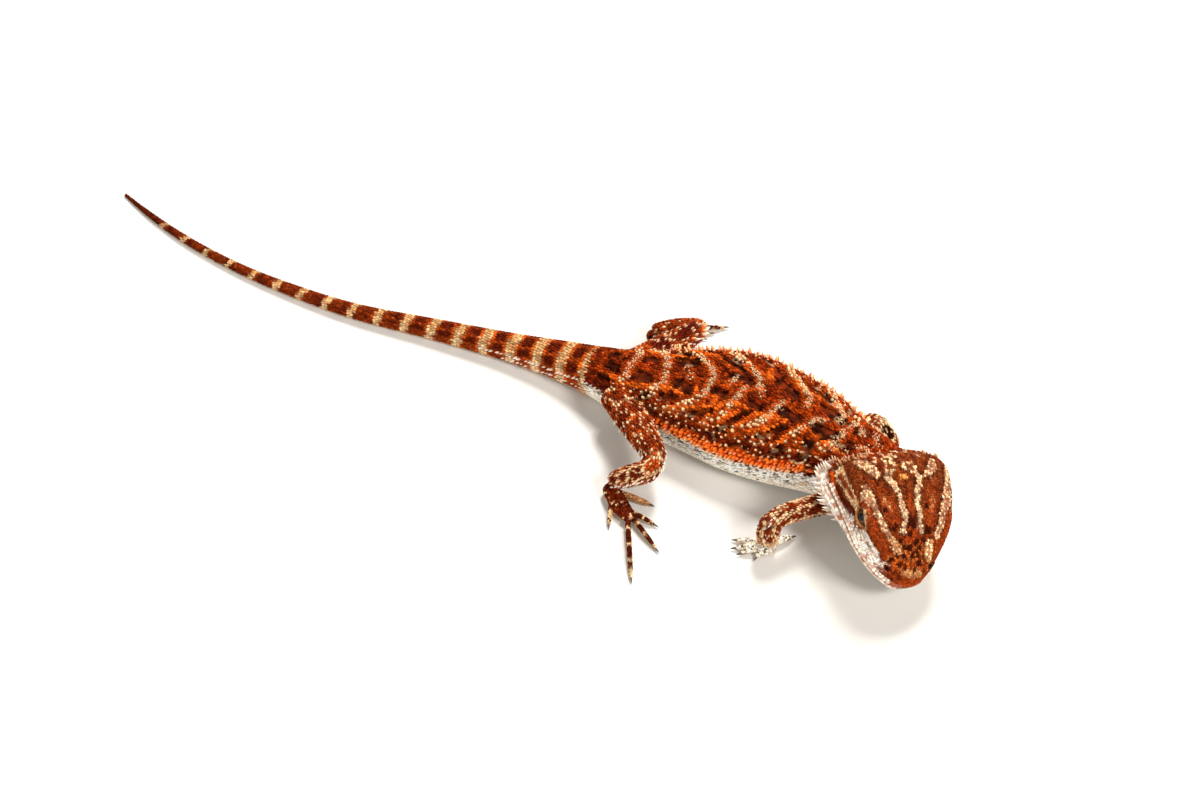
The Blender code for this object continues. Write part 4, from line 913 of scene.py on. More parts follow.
# Many scales as one mesh: the template stretched over each root, all in one go. sizes are length,
# width and height, place is where on the bake map each root lies, and tips the colour of each tip.
def stamp(kind, spot, out, ahead, sizes, tint, place, tips=None, patch=0.003):
    points, faces, rise = templates[kind]
    side = np.cross(out, ahead)
    sizes = np.asarray(sizes)[:, None, :] * points[None]
    placed = (spot[:, None] + ahead[:, None] * sizes[..., 0:1] + side[:, None] * sizes[..., 1:2]
              + out[:, None] * sizes[..., 2:3])
    placed[..., 2] = np.maximum(placed[..., 2], 0.02)
    count, many = len(spot), len(points)
    corners = (faces[None] + (np.arange(count) * many)[:, None, None]).reshape(-1, 3)
    uv = place[:, None] + points[None, :, :2] * patch
    tintWithTipsAndHighlight, height = np.repeat(tint, many, 0), np.tile(rise, count)
    if tips is not None:
        # tips blend in towards each scale's top: pale tips, and on the legs also a painted highlight
        tintWithTipsAndHighlight = over(tintWithTipsAndHighlight, np.repeat(tips, many, 0), height**1.5)
    return {"points": placed.reshape(-1, 3), "faces": corners, "uv": uv.reshape(-1, 2),
            "tint": tintWithTipsAndHighlight, "rise": height, "roots": (spot, tint)}


# A piece's material, the body that it rides on and the slot of its look
def dress(obj, material):
    obj.data.shade_smooth()
    obj.data.materials.append(material)
    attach(obj, "root")


# Batches of scales joined into one coat piece
def coatPiece(name, batches, material):
    points = np.vstack([b["points"] for b in batches])
    starts = np.cumsum([0] + [len(b["points"]) for b in batches[:-1]])
    faces = np.vstack([b["faces"] + s for b, s in zip(batches, starts)])
    whole = {key: np.concatenate([b[key] for b in batches]) for key in ("uv", "tint", "rise")}
    obj = newMesh(name, points, faces, {"tint": whole["tint"], "rise": whole["rise"]}, whole["uv"])
    dress(obj, material)
    coatPieces.extend(batches)
    print(name, len(faces), "triangles")


# Places on the bake map: u and v of the surface stretched over one cell of the unit square
def atlas(u, v, us, vs, cell=(0.0, 0.0, 1.0, 1.0)):
    x, y, wide, tall = cell
    margin = 0.03
    s = margin + (1 - 2 * margin) * ((u - us[0]) / (us[1] - us[0])).clip(0, 1)
    t = margin + (1 - 2 * margin) * ((v - vs[0]) / (vs[1] - vs[0])).clip(0, 1)
    return np.stack([x + wide * s, y + tall * t], 1)


# A socket that Python's operators work on: each one adds the Math node that it stands for
class Wire:
    def __init__(self, paints, socket):
        self.paints = paints
        self.socket = socket

    def math(self, operation, *others):
        inputs = dict(enumerate([self, *others]))
        return self.paints.node("ShaderNodeMath", {"operation": operation}, inputs)

    def __add__(self, other):
        return self.math("ADD", other)

    __radd__ = __add__

    def __sub__(self, other):
        return self.math("SUBTRACT", other)

    def __rsub__(self, other):
        return self.paints.node("ShaderNodeMath", {"operation": "SUBTRACT"}, {0: other, 1: self})

    def __mul__(self, other):
        return self.math("MULTIPLY", other)

    __rmul__ = __mul__

    def __pow__(self, other):
        return self.math("POWER", other)

    # 0 below low, 1 above high
    def between(self, low, high):
        settings = {"interpolation_type": "SMOOTHSTEP"}
        return self.paints.node("ShaderNodeMapRange", settings,
                                {"Value": self, "From Min": low, "From Max": high})


# One finish: a Principled shader whose sockets are set once, and the nodes that feed it
class Finish:
    def __init__(self, name, **fixed):
        self.material = bpy.data.materials.new(name)
        self.material.use_nodes = True
        self.tree = self.material.node_tree
        self.shader = self.tree.nodes["Principled BSDF"]
        for key, value in fixed.items():
            self.shader.inputs[key.replace("_", " ")].default_value = value

    # any node: its type, its settings, then the values or links of its sockets
    def node(self, kind, settings=None, inputs=None, output=0):
        made = self.tree.nodes.new(kind)
        for key, value in (settings or {}).items():
            setattr(made, key, value)
        for key, value in (inputs or {}).items():
            if isinstance(value, Wire):
                self.tree.links.new(value.socket, made.inputs[key])
            else:
                colour = made.inputs[key].type == "RGBA"
                made.inputs[key].default_value = (*value, 1.0) if colour else value
        return Wire(self, made.outputs[output])

    def feed(self, key, wire):
        self.tree.links.new(wire.socket, self.shader.inputs[key])

    def place(self):
        return self.node("ShaderNodeTexCoord", output="Object")

    def attribute(self, name, output="Color"):
        return self.node("ShaderNodeAttribute", {"attribute_name": name}, output=output)

    def noise(self, scale, detail=3.0, rough=0.55, at=None):
        inputs = {"Vector": at or self.place(), "Scale": scale, "Detail": detail, "Roughness": rough}
        return self.node("ShaderNodeTexNoise", None, inputs)

    # two colours or links mixed by a factor
    def mix(self, factor, a, b, blend="MIX"):
        return self.node("ShaderNodeMix", {"data_type": "RGBA", "blend_type": blend},
                         {0: factor, 6: a, 7: b}, 2)

    def bump(self, height, strength, distance):
        inputs = {"Height": height, "Strength": strength, "Distance": distance}
        self.feed("Normal", self.node("ShaderNodeBump", None, inputs))


# Horn of the scales: each scale's own tint, darkened round its foot by painted shade, paler on its keel by
# a painted highlight, and smoother there, with fine unevenness in colour and gloss, and a grain of about a
# tenth of a millimetre
def scaleFinishWithPaintedShade(name, gloss, grain, foot):
    finish = Finish(name, Metallic=0.0, Roughness=0.5, Specular_IOR_Level=0.05, IOR=1.18)
    tint, rise = finish.attribute("tint"), finish.attribute("rise", "Fac")
    blotch, fine = finish.noise(900.0), finish.noise(5200.0, 2.0)
    # painted shade darkens the low part of each scale, by the last argument, and a painted highlight
    # brightens its top
    shade = foot + (1 - foot) * rise.between(0.0, 0.55) + 0.18 * rise.between(0.6, 1.0)
    shade = shade * (0.74 + 0.52 * blotch) * (0.86 + 0.28 * fine)
    grey = finish.node("ShaderNodeCombineXYZ", None, {0: shade, 1: shade, 2: shade})
    finish.feed("Base Color", finish.mix(1.0, tint, grey, "MULTIPLY"))
    finish.feed("Roughness", gloss + 0.26 * fine - 0.10 * rise)
    finish.bump(fine + 0.6 * finish.noise(11000.0, 2.0), grain, 0.00006)
    return finish.material


# Bare skin between the scales: the same markings, darkened by a painted shade between the scales, with fine
# wrinkles
def skinFinishWithPaintedShade():
    finish = Finish("skinBetweenScales", Metallic=0.0, Roughness=0.62, Specular_IOR_Level=0.1, IOR=1.2)
    tint = finish.attribute("tint")
    blotch, fine = finish.noise(700.0), finish.noise(4200.0)
    # painted shade: the tint is mixed towards near black
    unshadedShare = 0.62 + 0.3 * blotch.between(0.35, 0.65)
    finish.feed("Base Color", finish.mix(unshadedShare, (0.02, 0.008, 0.005), tint))
    finish.feed("Roughness", 0.5 + 0.3 * fine)
    wrinkle = finish.node("ShaderNodeTexVoronoi", {"feature": "DISTANCE_TO_EDGE"},
                          {"Vector": finish.place(), "Scale": 1900.0}, "Distance")
    finish.bump(wrinkle.between(0.0, 0.2) + 0.5 * fine, 0.5, 0.00012)
    return finish.material


# Claws: dark translucent-looking horn, paler at the root, with long streaks and a polished tip
def clawFinish():
    finish = Finish("clawHorn", Metallic=0.0, Roughness=0.3, Coat_Weight=0.3, Coat_Roughness=0.15)
    way, fine = finish.attribute("rise", "Fac"), finish.noise(3000.0)
    pale = (1 - way).between(0.35, 1.0) * 0.75 + 0.2 * fine
    finish.feed("Base Color", finish.mix(pale, (0.035, 0.018, 0.012), (0.30, 0.19, 0.11)))
    finish.feed("Roughness", 0.22 + 0.25 * fine)
    finish.bump(fine, 0.2, 0.00005)
    return finish.material


# The eye: a black pupil, an amber-brown iris with rays that darkens to its rim, and a dark edge
def eyeFinish():
    finish = Finish("wetEye", Metallic=0.0, Roughness=0.08, IOR=1.3, Coat_Weight=0.15, Coat_Roughness=0.02,
                    Specular_IOR_Level=0.25)
    polar, around = finish.attribute("polar", "Fac"), finish.attribute("around", "Fac")
    inputs = {"Vector": finish.node("ShaderNodeCombineXYZ", None, {0: around, 1: polar * 0.6, 2: 0.0}),
              "Scale": 9.0}
    rays = finish.node("ShaderNodeTexNoise", None, inputs)
    iris = finish.mix(rays.between(0.35, 0.65), (0.020, 0.008, 0.004), (0.10, 0.035, 0.010))
    gold = finish.mix((0.50 - polar).between(0.0, 0.12), iris, (0.20, 0.085, 0.025))
    edge = finish.mix(polar.between(0.62, 0.86), gold, (0.012, 0.006, 0.004))
    finish.feed("Base Color", finish.mix((0.40 - polar).between(0.0, 0.05), edge, (0.002, 0.002, 0.002)))
    finish.feed("Roughness", 0.05 + 0.05 * rays)
    return finish.material


# The floor: an even, nearly white sheet with the faintest unevenness
def floorFinish():
    finish = Finish("paperFloor", Metallic=0.0, Roughness=0.9)
    cloud = finish.noise(6.0)
    colour = finish.mix(cloud.between(0.3, 0.7) * 0.4, (0.74, 0.73, 0.71), (0.71, 0.70, 0.68))
    finish.feed("Base Color", colour)
    return finish.material


keeledFinish = scaleFinishWithPaintedShade("keeledScales", 0.42, 0.35, 0.30)
smoothFinish = scaleFinishWithPaintedShade("smoothScales", 0.40, 0.25, 0.62)
paleFinish = scaleFinishWithPaintedShade("paleScales", 0.44, 0.30, 0.55)
spineFinish = scaleFinishWithPaintedShade("hornySpines", 0.36, 0.30, 0.80)

# Colours of the back and flanks: rust brown, with an orange lobe round each pale chain, bright
# along its ribbons, dark streaks between them, painted shade along the folds, a darker flank and a fringe
# of bright spines
def trunkTint(x, turn, points):
    away = np.abs(turn - 90)
    rough, fine, tiny = uneven(points, 4.5, 3), uneven(points, 1.7, 4), uneven(points, 0.9, 9)
    tint = over("ground", "rust", 0.35 + 0.55 * rough)
    tint = over(tint, "umber", ramp(fine + 0.4 * tiny, -0.1, 0.6) * 0.85)
    flank = ramp(away + 3 * rough, 50, 62)
    side = over("umber", "ground", ramp(fine + 0.5 * tiny, -0.4, 0.9) * 0.9)
    tint = over(tint, side, flank * 0.85)
    wobble = 0.35 * fine + 0.2 * tiny
    lobe = nearest(points, tracks["arms"])[0]
    tint = over(tint, "rust", ramp(-lobe + wobble, -2.4, -1.2) * ramp(-away, -62, -52) * 0.75)
    ribbon = nearest(points, tracks["ribbons"])[0]
    tint = over(tint, "orange", ramp(-ribbon + wobble, -1.05, -0.5) * 0.95)
    gone, wide = nearest(points, tracks["darks"])
    tint = over(tint, "dark", ramp(1.2 * wide - gone + wobble, -0.25, 0.2) * 0.96)
    # painted shade along the folds of loose skin
    tint = over(tint, "dark", ramp(-nearest(points, tracks["folds"])[0], -0.7, -0.2) * 0.7)
    chain = lobe + 0.5 * np.abs(tiny)
    tint = over(tint, "grey", ramp(-chain, -1.2, -0.6) * ramp(-away, -30, -14) * (tiny > -0.1) * 0.4)
    edge = ramp(away + 2.5 * fine, 68, 74)
    glow = over("orange", "maroon", ramp(tiny + 0.4 * fine, -0.3, 0.5) * 0.8)
    tint = over(tint, glow, edge * ramp(-np.abs(x - 38), -36, -28))
    under = away + 2.5 * tiny
    tint = over(tint, "dark", ramp(under, 85.0, 86.2) * 0.85)
    return over(tint, bellyTint(turn, points), ramp(under, 87.0, 88.2))


# Belly: chalk white, with black flecks in broken rows below the fringe
def bellyTint(turn, points):
    turn = np.mod(turn, 360)
    below = np.minimum(np.abs(turn - 180), 360 - turn)
    inRow = np.cos(below * 2 * math.pi / 5.0 + uneven(points, 6.0, 13)) > 0.25
    fleck = inRow & (uneven(points * [1.0, 1, 1.6], 0.8, 12) > 0.26 + 0.02 * below) & (below < 26)
    tint = over("white", (0.86, 0.74, 0.62), 0.15 + 0.25 * uneven(points, 7.0, 5))
    return over(tint, (0.045, 0.032, 0.028), fleck * 0.85)


# Tail: pale bands at even steps, wide red-brown ones between, with dark ovals near its root
def tailTint(x, turn, points):
    step, first = markings["tailStep"], markings["tailFirst"]
    skew = x + 1.0 * (turn - 90) / 90 * (turn < 270)
    phase = np.mod(skew - first + step / 2, step) - step / 2
    small = ramp(-x, 10, 150)
    wide = 1.75 - 0.75 * small + 0.35 * uneven(points, 2.2, 21)
    fine = uneven(points, 1.5, 22)
    tint = over("brick", "rust", 0.4 + 0.6 * fine)
    tint = over(tint, "umber", 0.55 * small + 0.45 * ramp(uneven(points, 3.0, 23), 0, 0.8))
    middle = np.abs(phase) - step / 2
    for centre, span in ((90, 22), (142, 20), (38, 20)):
        oval = (middle / 2.3) ** 2 + ((turn - centre) / span) ** 2
        tint = over(tint, "umber", ramp(-oval - 0.3 * fine, -1.25, -0.6) * ramp(x, -110, -55) * 0.9)
    rim = ramp(-np.abs(np.abs(phase) - wide - 0.3), -0.7, 0)
    tint = over(tint, "orange", rim * ramp(x, -75, -30) * 0.7)
    pale = over("sand", "cream", 0.25 + 0.5 * fine + ramp(np.abs(turn - 90), 40, 70) * 0.5)
    tint = over(tint, pale, ramp(-np.abs(phase), -wide, -wide + 0.45) * ramp(x, -156, -153))
    tint = over(tint, "dark", ramp(-x, 146, 158) * 0.5)
    under = ramp(-np.sin(np.radians(turn)), 0.25, 0.7)
    return over(tint, over(tint, "sole", 0.75), under)


# Legs: dark red-brown. Hind ones have ragged pale bars and patches with rusty rims, arms have pale
# streaks along them, and some scales of both end in a pale tip; the other tips carry a painted highlight.
# Gives the colours of foot and tip.
def legTint(mm, turn, points, hind, ovals):
    fine, rough, patch = uneven(points, 1.2, 31), uneven(points, 3.0, 32), uneven(points, 2.3, 33)
    chance = draw.random(len(mm))
    tint = over("maroon", "brick", 0.55 + 0.7 * rough)
    tint = over(tint, "umber", ramp(fine, 0.0, 0.7) * 0.75)
    if hind:
        bar = np.cos(mm * 2 * math.pi / 6.4 + 1.3 * rough)
        pale = np.maximum(ramp(bar + 0.6 * fine, 1.0, 1.25), ramp(patch + 0.4 * fine, 0.62, 0.85))
        tint = over(tint, "orange", ramp(-np.abs(bar + 0.6 * fine - 0.6), -0.3, 0) * 0.5)
        pale = pale * (chance < 0.75)
    else:
        lane = np.cos(turn * 5 + mm * 0.5 + 0.6 * rough)
        pale = np.maximum(ramp(lane, 0.3, 0.6) * (chance < 0.6),
                          ramp(mm, 27, 30) * (patch > -0.1)) * ramp(mm, 2, 5)
    tint = over(tint, "cream", pale * 0.85)
    for at, side, long, span, rim, core in ovals:
        across = (np.mod(np.degrees(turn) - side + 180, 360) - 180) / span
        away = np.hypot((mm - at) / long, across) + 0.15 * fine
        tint = over(tint, rim, ramp(-away, -1.5, -1.25) * (chance < 0.8) * 0.9)
        tint = over(tint, core, ramp(-away, -1.1, -0.85))
    # painted highlight: each tip is its scale's colour made 1.4 times brighter; a few end in cream instead
    tips = over((tint * 1.4).clip(0, 0.9), "cream", (chance > (0.84 if hind else 0.7)) * 0.95)
    return tint, tips


# Colours of the head in its own frame: a brown crown with pale stripes edged in cream, red-brown
# hollows on the brow, dark spots on the snout, a dark band behind the eye and white lips and throat.
# Each scale is coloured as the place a little beside it, which makes all edges ragged.
def headTint(local, points):
    count = len(local)
    local = local + draw.normal(0, 0.14, (count, 3))
    x, y, z = local.T
    fine, rough, chance = uneven(points, 1.1, 41), uneven(points, 3.6, 42), draw.random(count)
    forward = ramp(x, 12, 26)
    tint = over("crown", "brick", forward * 0.55 + 0.25 * rough)
    streak = uneven(local * [0.4, 1.7, 1.7], 1.7, 43)
    tint = over(tint, "umber", ramp(streak + 0.5 * fine, 0.0, 0.8) * 0.8)
    tint = over(tint, "rust", ramp(-streak - 0.4 * fine, 0.1, 0.8) * (0.35 + 0.45 * forward))
    flat = local[:, :2]
    top = ramp(z, -4.8, -3.0) * ramp(x, -1.0, 1.5) + ramp(x, 24, 28) * ramp(z, -8.0, -5.5)
    top = top.clip(0, 1)
    for line, colour in face["bands"]:
        tint = over(tint, colour, ramp(inStripe(flat, line) + 0.3 * fine, -0.3, 0.4) * top * 0.85)
    for line in face["hollows"]:
        inside = inStripe(flat, line) + 0.3 * fine
        tint = over(tint, "brick", ramp(inside, -0.4, 0.8) * top * 0.9)
        # painted highlight: scattered tan scales in the core of each oval
        tint = over(tint, "tan", ramp(inside, 0.9, 1.9) * top * (0.25 + 0.4 * (chance > 0.6)))
    for line, colour in face["stripes"]:
        inside = inStripe(flat, line) + 0.2 * fine
        tint = over(tint, "dark", ramp(inside, -1.0, -0.3) * top * 0.5)
        tint = over(tint, colour, ramp(inside, -0.15, 0.2) * top * 0.9)
        tint = over(tint, "mauve", ramp(inside, 0.3, 0.7) * top * (chance < 0.5) * 0.85)
        bright = (chance > 0.62) + 0.6 * (chance < 0.25) * (inside < 0.5)
        tint = over(tint, paint["cream"] * 1.1, ramp(inside, -0.1, 0.1) * top * bright * 0.85)
    dots = np.max([r - np.hypot(x - sx, y - sy) for sx, sy, r in face["dots"]], 0)
    tint = over(tint, "cream", ramp(dots, -0.2, 0.1) * ramp(z, -6.0, -3.0) * 0.9)
    spots = np.max([1.5 * r - np.hypot(x - sx, y - sy) for sx, sy, r in face["spots"]], 0)
    tint = over(tint, "amber", ramp(-np.abs(spots + 0.35), -0.3, -0.1) * top * ramp(x, 26, 29) * 0.22)
    tint = over(tint, "dark", ramp(spots, -0.25, 0.1) * top * 0.95)
    ring = np.hypot(x - face["thirdEye"][0], y - face["thirdEye"][1])
    tint = over(tint, "amber", ramp(-np.abs(ring - 0.75), -0.45, -0.1) * top)
    tint = over(tint, "brick", ramp(-ring, -0.45, -0.2) * top)
    line = np.array(face["rear"])
    behind = np.interp(y, line[:, 0], line[:, 1]) - x + 0.4 * fine
    nape = ramp(behind, -0.2, 0.4) * (1 - ramp(dots, -0.2, 0.1) * 0.9)
    cloth = over("ground", "orange", ramp(rough + 0.5 * fine, 0.2, 0.8) * 0.5)
    cloth = over(cloth, "cream", (chance > 0.92) * 0.6)
    tint = over(tint, cloth, nape)
    side = np.column_stack([x, np.abs(y), z])
    cheek = ramp(np.abs(y) + 0.6 * z, 2.0, 5.0) * ramp(-z, 3.0, 5.0) * ramp(x, 14, 19)
    pale = over("white", "pink", ramp(fine + 0.4 * rough, 0.1, 0.6) * 0.85)
    dashes = ramp(uneven(local * [0.45, 1.6, 1.9], 1.6, 44) + 0.3 * fine, 0.35, 0.7) * ramp(x, 16, 20)
    pale = over(pale, over("rust", "maroon", (chance < 0.4) * 0.6), dashes * 0.75)
    edge = 3.4 + ramp(x, 20, 25) + 0.7 * rough
    tint = over(tint, pale, cheek * ramp(-(z - mouthHeight(x)) - 0.3 * fine, -edge - 1.0, -edge))
    for line, wide, colour in face["lines"]:
        away = fromLine(side, line) + 0.2 * fine
        patch = over("cream", "tan", (chance < 0.25) * 0.7) if colour == "cream" else colour
        tint = over(tint, patch, ramp(-away, -wide - 0.12, -wide + 0.3) * 0.95)
    under = ramp(-(z - mouthHeight(x)), -0.6 - 1.6 * ramp(x, 9, 14), 0.9)
    throat = over("white", "pink", ramp(fine + 0.5 * rough, 0.35, 0.9) * 0.5)
    tint = over(tint, throat, under)
    tip = ramp(x, 35.0, 36.4) * ramp(z - mouthHeight(x), -0.9, 0.2)
    return over(tint, "rust", tip * 0.8)


def spread(count, low, high):
    return draw.uniform(low, high, count)


# Sizes of scales with a little chance in them: length, width and height
def varied(rows, long, wide, tall, chance=0.14):
    count = len(rows)
    sizes = np.stack([rows[:, 3] * long, rows[:, 2] * wide, tall * np.ones(count)], 1)
    return sizes * spread((count, 3), 1 - chance, 1 + chance)


# Each scale's own shade of the marking that it lies in, most of them near it and a few far off
def speckled(tint, spreadOut=0.38):
    shade = np.exp(draw.normal(-0.03, spreadOut, (len(tint), 1)).clip(-1.0, 0.6))
    warmth = draw.normal(0, 0.3 * spreadOut, (len(tint), 1)) * np.array([0.0, 0.6, 1.0])
    return (tint * shade * (1 + warmth)).clip(0.001, 0.96)


# Leaves out the scales whose roots lie closer than a given distance to any of some larger ones
def clearOf(spot, others, reach):
    far, reach = nearest(spot, (treeOf(others), np.asarray(reach)))
    return far > reach


back = {
    "ends": (-5.8, 86.0),
    "pitch": 0.90,
    "width": 0.84,
    "belly": 0.95,  # both spacings on the belly
}


# Pale tubercles in uneven rows along every chain, larger and sparser down the flanks, in the
# clusters of the neck, and strewn over the flanks: x, turn, width and degrees from the midline
def chainBeads():
    rows = []
    for line in markings["arms"]:
        path = onTrunk(line)
        flat = np.array(line, float)
        at = np.linspace(0, len(flat) - 1, len(path))
        x, turn = (np.interp(at, np.arange(len(flat)), column) for column in flat.T)
        walked = walk(path)
        for lane in (-1, 0, 1):
            go = draw.uniform(0.1, 0.8)
            while go < walked[-1]:
                here = np.interp(go, walked, turn)
                far = ramp(abs(here - 90), 16, 34)
                size = (0.62 + 0.50 * far) * draw.uniform(0.70, 1.16)
                single = ramp(abs(here - 90), 36, 52)
                if lane == 0 or draw.random() > 0.25 + 0.5 * single:
                    off = lane * (0.62 + 0.42 * far) + draw.normal(0, 0.14)
                    rows.append((np.interp(go, walked, x) + off, here + draw.normal(0, 0.8), size,
                                 abs(here - 90)))
                go += size * (1.2 + 0.6 * single) * draw.uniform(0.95, 1.5)
    for x, turn in markings["rosettes"]:
        for k in range(5):
            at, gap = k * 1.25 + draw.uniform(0, 0.5), draw.uniform(0.5, 0.9)
            rows.append((x + gap * math.cos(at), turn + 4.6 * gap * math.sin(at), draw.uniform(0.45, 0.72),
                         10.0))
    for line in (43.0, 50.0, 57.0, 63.5, 69.5):  # strewn in loose rows over the flanks
        for side in (1, -1):
            count = int(draw.uniform(24, 29))
            for x in np.linspace(5, 69, count) + draw.normal(0, 0.45, count):
                here = line + draw.normal(0, 1.3)
                rows.append((x, 90 + side * here, draw.uniform(0.62, 1.08) * (0.8 if line < 45 else 1.0),
                             here))
    rows = np.array(rows)
    spots = trunkSkin(wayAt(rows[:, 0]), np.radians(rows[:, 1]))
    tree, order = treeOf(spots), np.argsort(np.argsort(-rows[:, 2]))  # the largest beads come first
    reach = (0.62 + 0.75 * (rows[:, 3] > 40)) * rows[:, 2]
    near = [tree.find_range(p, r) for p, r in zip(spots.tolist(), reach)]
    keep = [all(order[j] >= order[i] for _, j, _ in found) for i, found in enumerate(near)]
    return rows[np.array(keep)]


def makeBack():
    beads = chainBeads()
    way, turn = wayAt(beads[:, 0]), np.radians(beads[:, 1])
    spot, out, ahead, keep = settle(*spotsOn(trunkSkin, way, turn, -1, 0.3, 0.02))
    tint = over("cream", "amber", ramp(beads[:, 3], 34, 74) * 0.75 * draw.random(len(beads)))
    tint = over(tint, "grey", ramp(-beads[:, 3], -26, -6) * 0.35)
    sizes = beads[:, 2:3] * np.array([1.05, 1.0, 0.72]) * spread((len(beads), 3), 0.9, 1.1)
    places = atlas(way, turn, wayAt(np.array(back["ends"])), (-0.3, math.pi + 0.3))
    batches = [stamp("bead", *pick(keep, spot, out, ahead, sizes), speckled(tint[keep], 0.12),
                     places[keep])]
    rows = rowsOver(trunkSkin, wayAt(np.array(back["ends"])), np.radians([-9, 189]), back["pitch"],
                    back["width"])
    spotAll, out, ahead, fits = settle(*spotsOn(trunkSkin, rows[:, 0], rows[:, 1], -1, 0.3, 0.02, rows))
    x, turn = xAt(rows[:, 0]), np.degrees(rows[:, 1])
    fits &= clearOf(spotAll, spot[keep], 0.42 * sizes[keep][:, 0])
    tint = speckled(trunkTint(x, turn, spotAll), 0.44)
    sizes = varied(rows, 1.22, 1.0, 0.46)
    places = atlas(rows[:, 0], rows[:, 1], wayAt(np.array(back["ends"])), (-0.3, math.pi + 0.3))
    batches.append(stamp("keeled", *pick(fits, spotAll, out, ahead, sizes, tint, places)))
    return batches


def makeBelly():
    rows = rowsOver(trunkSkin, wayAt(np.array(back["ends"])), np.radians([189, 351]), back["belly"],
                    back["belly"])
    spot, out, ahead, k = settle(*spotsOn(trunkSkin, rows[:, 0], rows[:, 1], -1, 0.3, 0.02, rows))
    tint = speckled(bellyTint(np.degrees(rows[:, 1]), spot), 0.07)
    places = atlas(rows[:, 0], rows[:, 1], wayAt(np.array(back["ends"])), (math.pi, 2 * math.pi))
    return [stamp("keeled", *pick(k, spot, out, ahead, varied(rows, 1.2, 1.02, 0.30), tint, places))]


def makeTail():
    ends = (0.5, wayAt(-5.0))

    def size(u):
        return np.interp(u, [0, 20, 60, 165], [0.55, 0.72, 0.86, 0.98])

    rows = rowsOver(trunkSkin, ends, onceRound, lambda u: size(u) * 1.05, lambda u: size(u) * 0.92, True)
    spot, out, ahead, k = settle(*spotsOn(trunkSkin, rows[:, 0], rows[:, 1], -1, 0.3, 0.05, rows, 0.09))
    tint = speckled(tailTint(xAt(rows[:, 0]), np.degrees(rows[:, 1]), spot), 0.28)
    sizes = varied(rows, 1.22, 1.02, 1.0, 0.08)
    sizes[:, 2] = 0.40 * size(rows[:, 0]) + 0.02
    places = atlas(rows[:, 0], rows[:, 1], ends, onceRound)
    return [stamp("keeled", *pick(k, spot, out, ahead, sizes, tint, places))]


# Where the plain scales of the face leave room: eyes and lids, ears, nostrils and the two lips
def faceIsFree(local, points):
    free = np.ones(len(local), bool)
    for side in (1, -1):
        free &= openingAt(points, side, 1.0) > 1
        for hole, grow in ((ear, 0.95), (nostril, 1.25)):
            away = (local - onSide(hole["place"], side)) / hole["radii"] / grow
            free &= lengths(away) > 1
    off = local[:, 2] - mouthHeight(local[:, 0])
    lips = (np.abs(off) < 1.18) & (local[:, 0] > 7.4) & (np.abs(local[:, 1]) > 0.2)
    return free & ~(lips | (local[:, 0] > 36.2) & (np.abs(off) < 1.3))


def makeHead():
    ends = (-0.7, 36.9)

    def size(u):
        return np.interp(u, [0, 8, 28, 37], [0.74, 0.64, 0.60, 0.54])

    rows = rowsOver(headSkin, ends, (0, 2.0), lambda u: size(u) * 1.12, lambda u: size(u) * 0.9, True)
    spot, out, ahead, fits = settle(*spotsOn(headSkin, rows[:, 0], rows[:, 1], -1, 0.15, 0.01, rows, 0.2),
                                    1.6)
    local = inHead(spot)
    fits &= faceIsFree(local, spot)
    tint = speckled(headTint(local, spot), 0.30)
    bead = spotsOn(headSkin, np.array(face["thirdEye"][:1]), np.array([1.996]), -1, 0.15, 0.01)
    fits &= clearOf(spot, bead[0], [0.85])
    t = np.minimum(rows[:, 1], 2 - rows[:, 1])
    places = atlas(rows[:, 0], rows[:, 1], ends, (0, 2.0))
    off = local[:, 2] - mouthHeight(local[:, 0])
    crown = (t < 0.36) & (rows[:, 0] > 1.0) | (rows[:, 0] > 22) & (off > 0)
    throat = (off < 0) | (local[:, 0] < 3.0) & (t > 0.45)
    place = atlas(np.array(face["thirdEye"][:1]), np.array([1.996]), ends, (0, 2.0))
    parts = [stamp("bead", *bead, [(1.7, 1.6, 0.42)], paint["amber"][None], place, paint["tan"][None])]
    forms = (("plate", crown, 1.06, 1.04, 0.40), ("granule", ~crown & ~throat, 1.05, 1.02, 0.42),
             ("keeled", throat, 1.22, 1.0, 0.36))
    for kind, mask, long, wide, tall in forms:
        sizes = varied(rows, long, wide, 1.0, 0.12)
        sizes[:, 2] = tall * size(rows[:, 0]) * spread(len(rows), 0.75, 1.25)
        parts.append(stamp(kind, *pick(fits & mask, spot, out, ahead, sizes, tint, places)))
    return parts[:3], parts[3:]


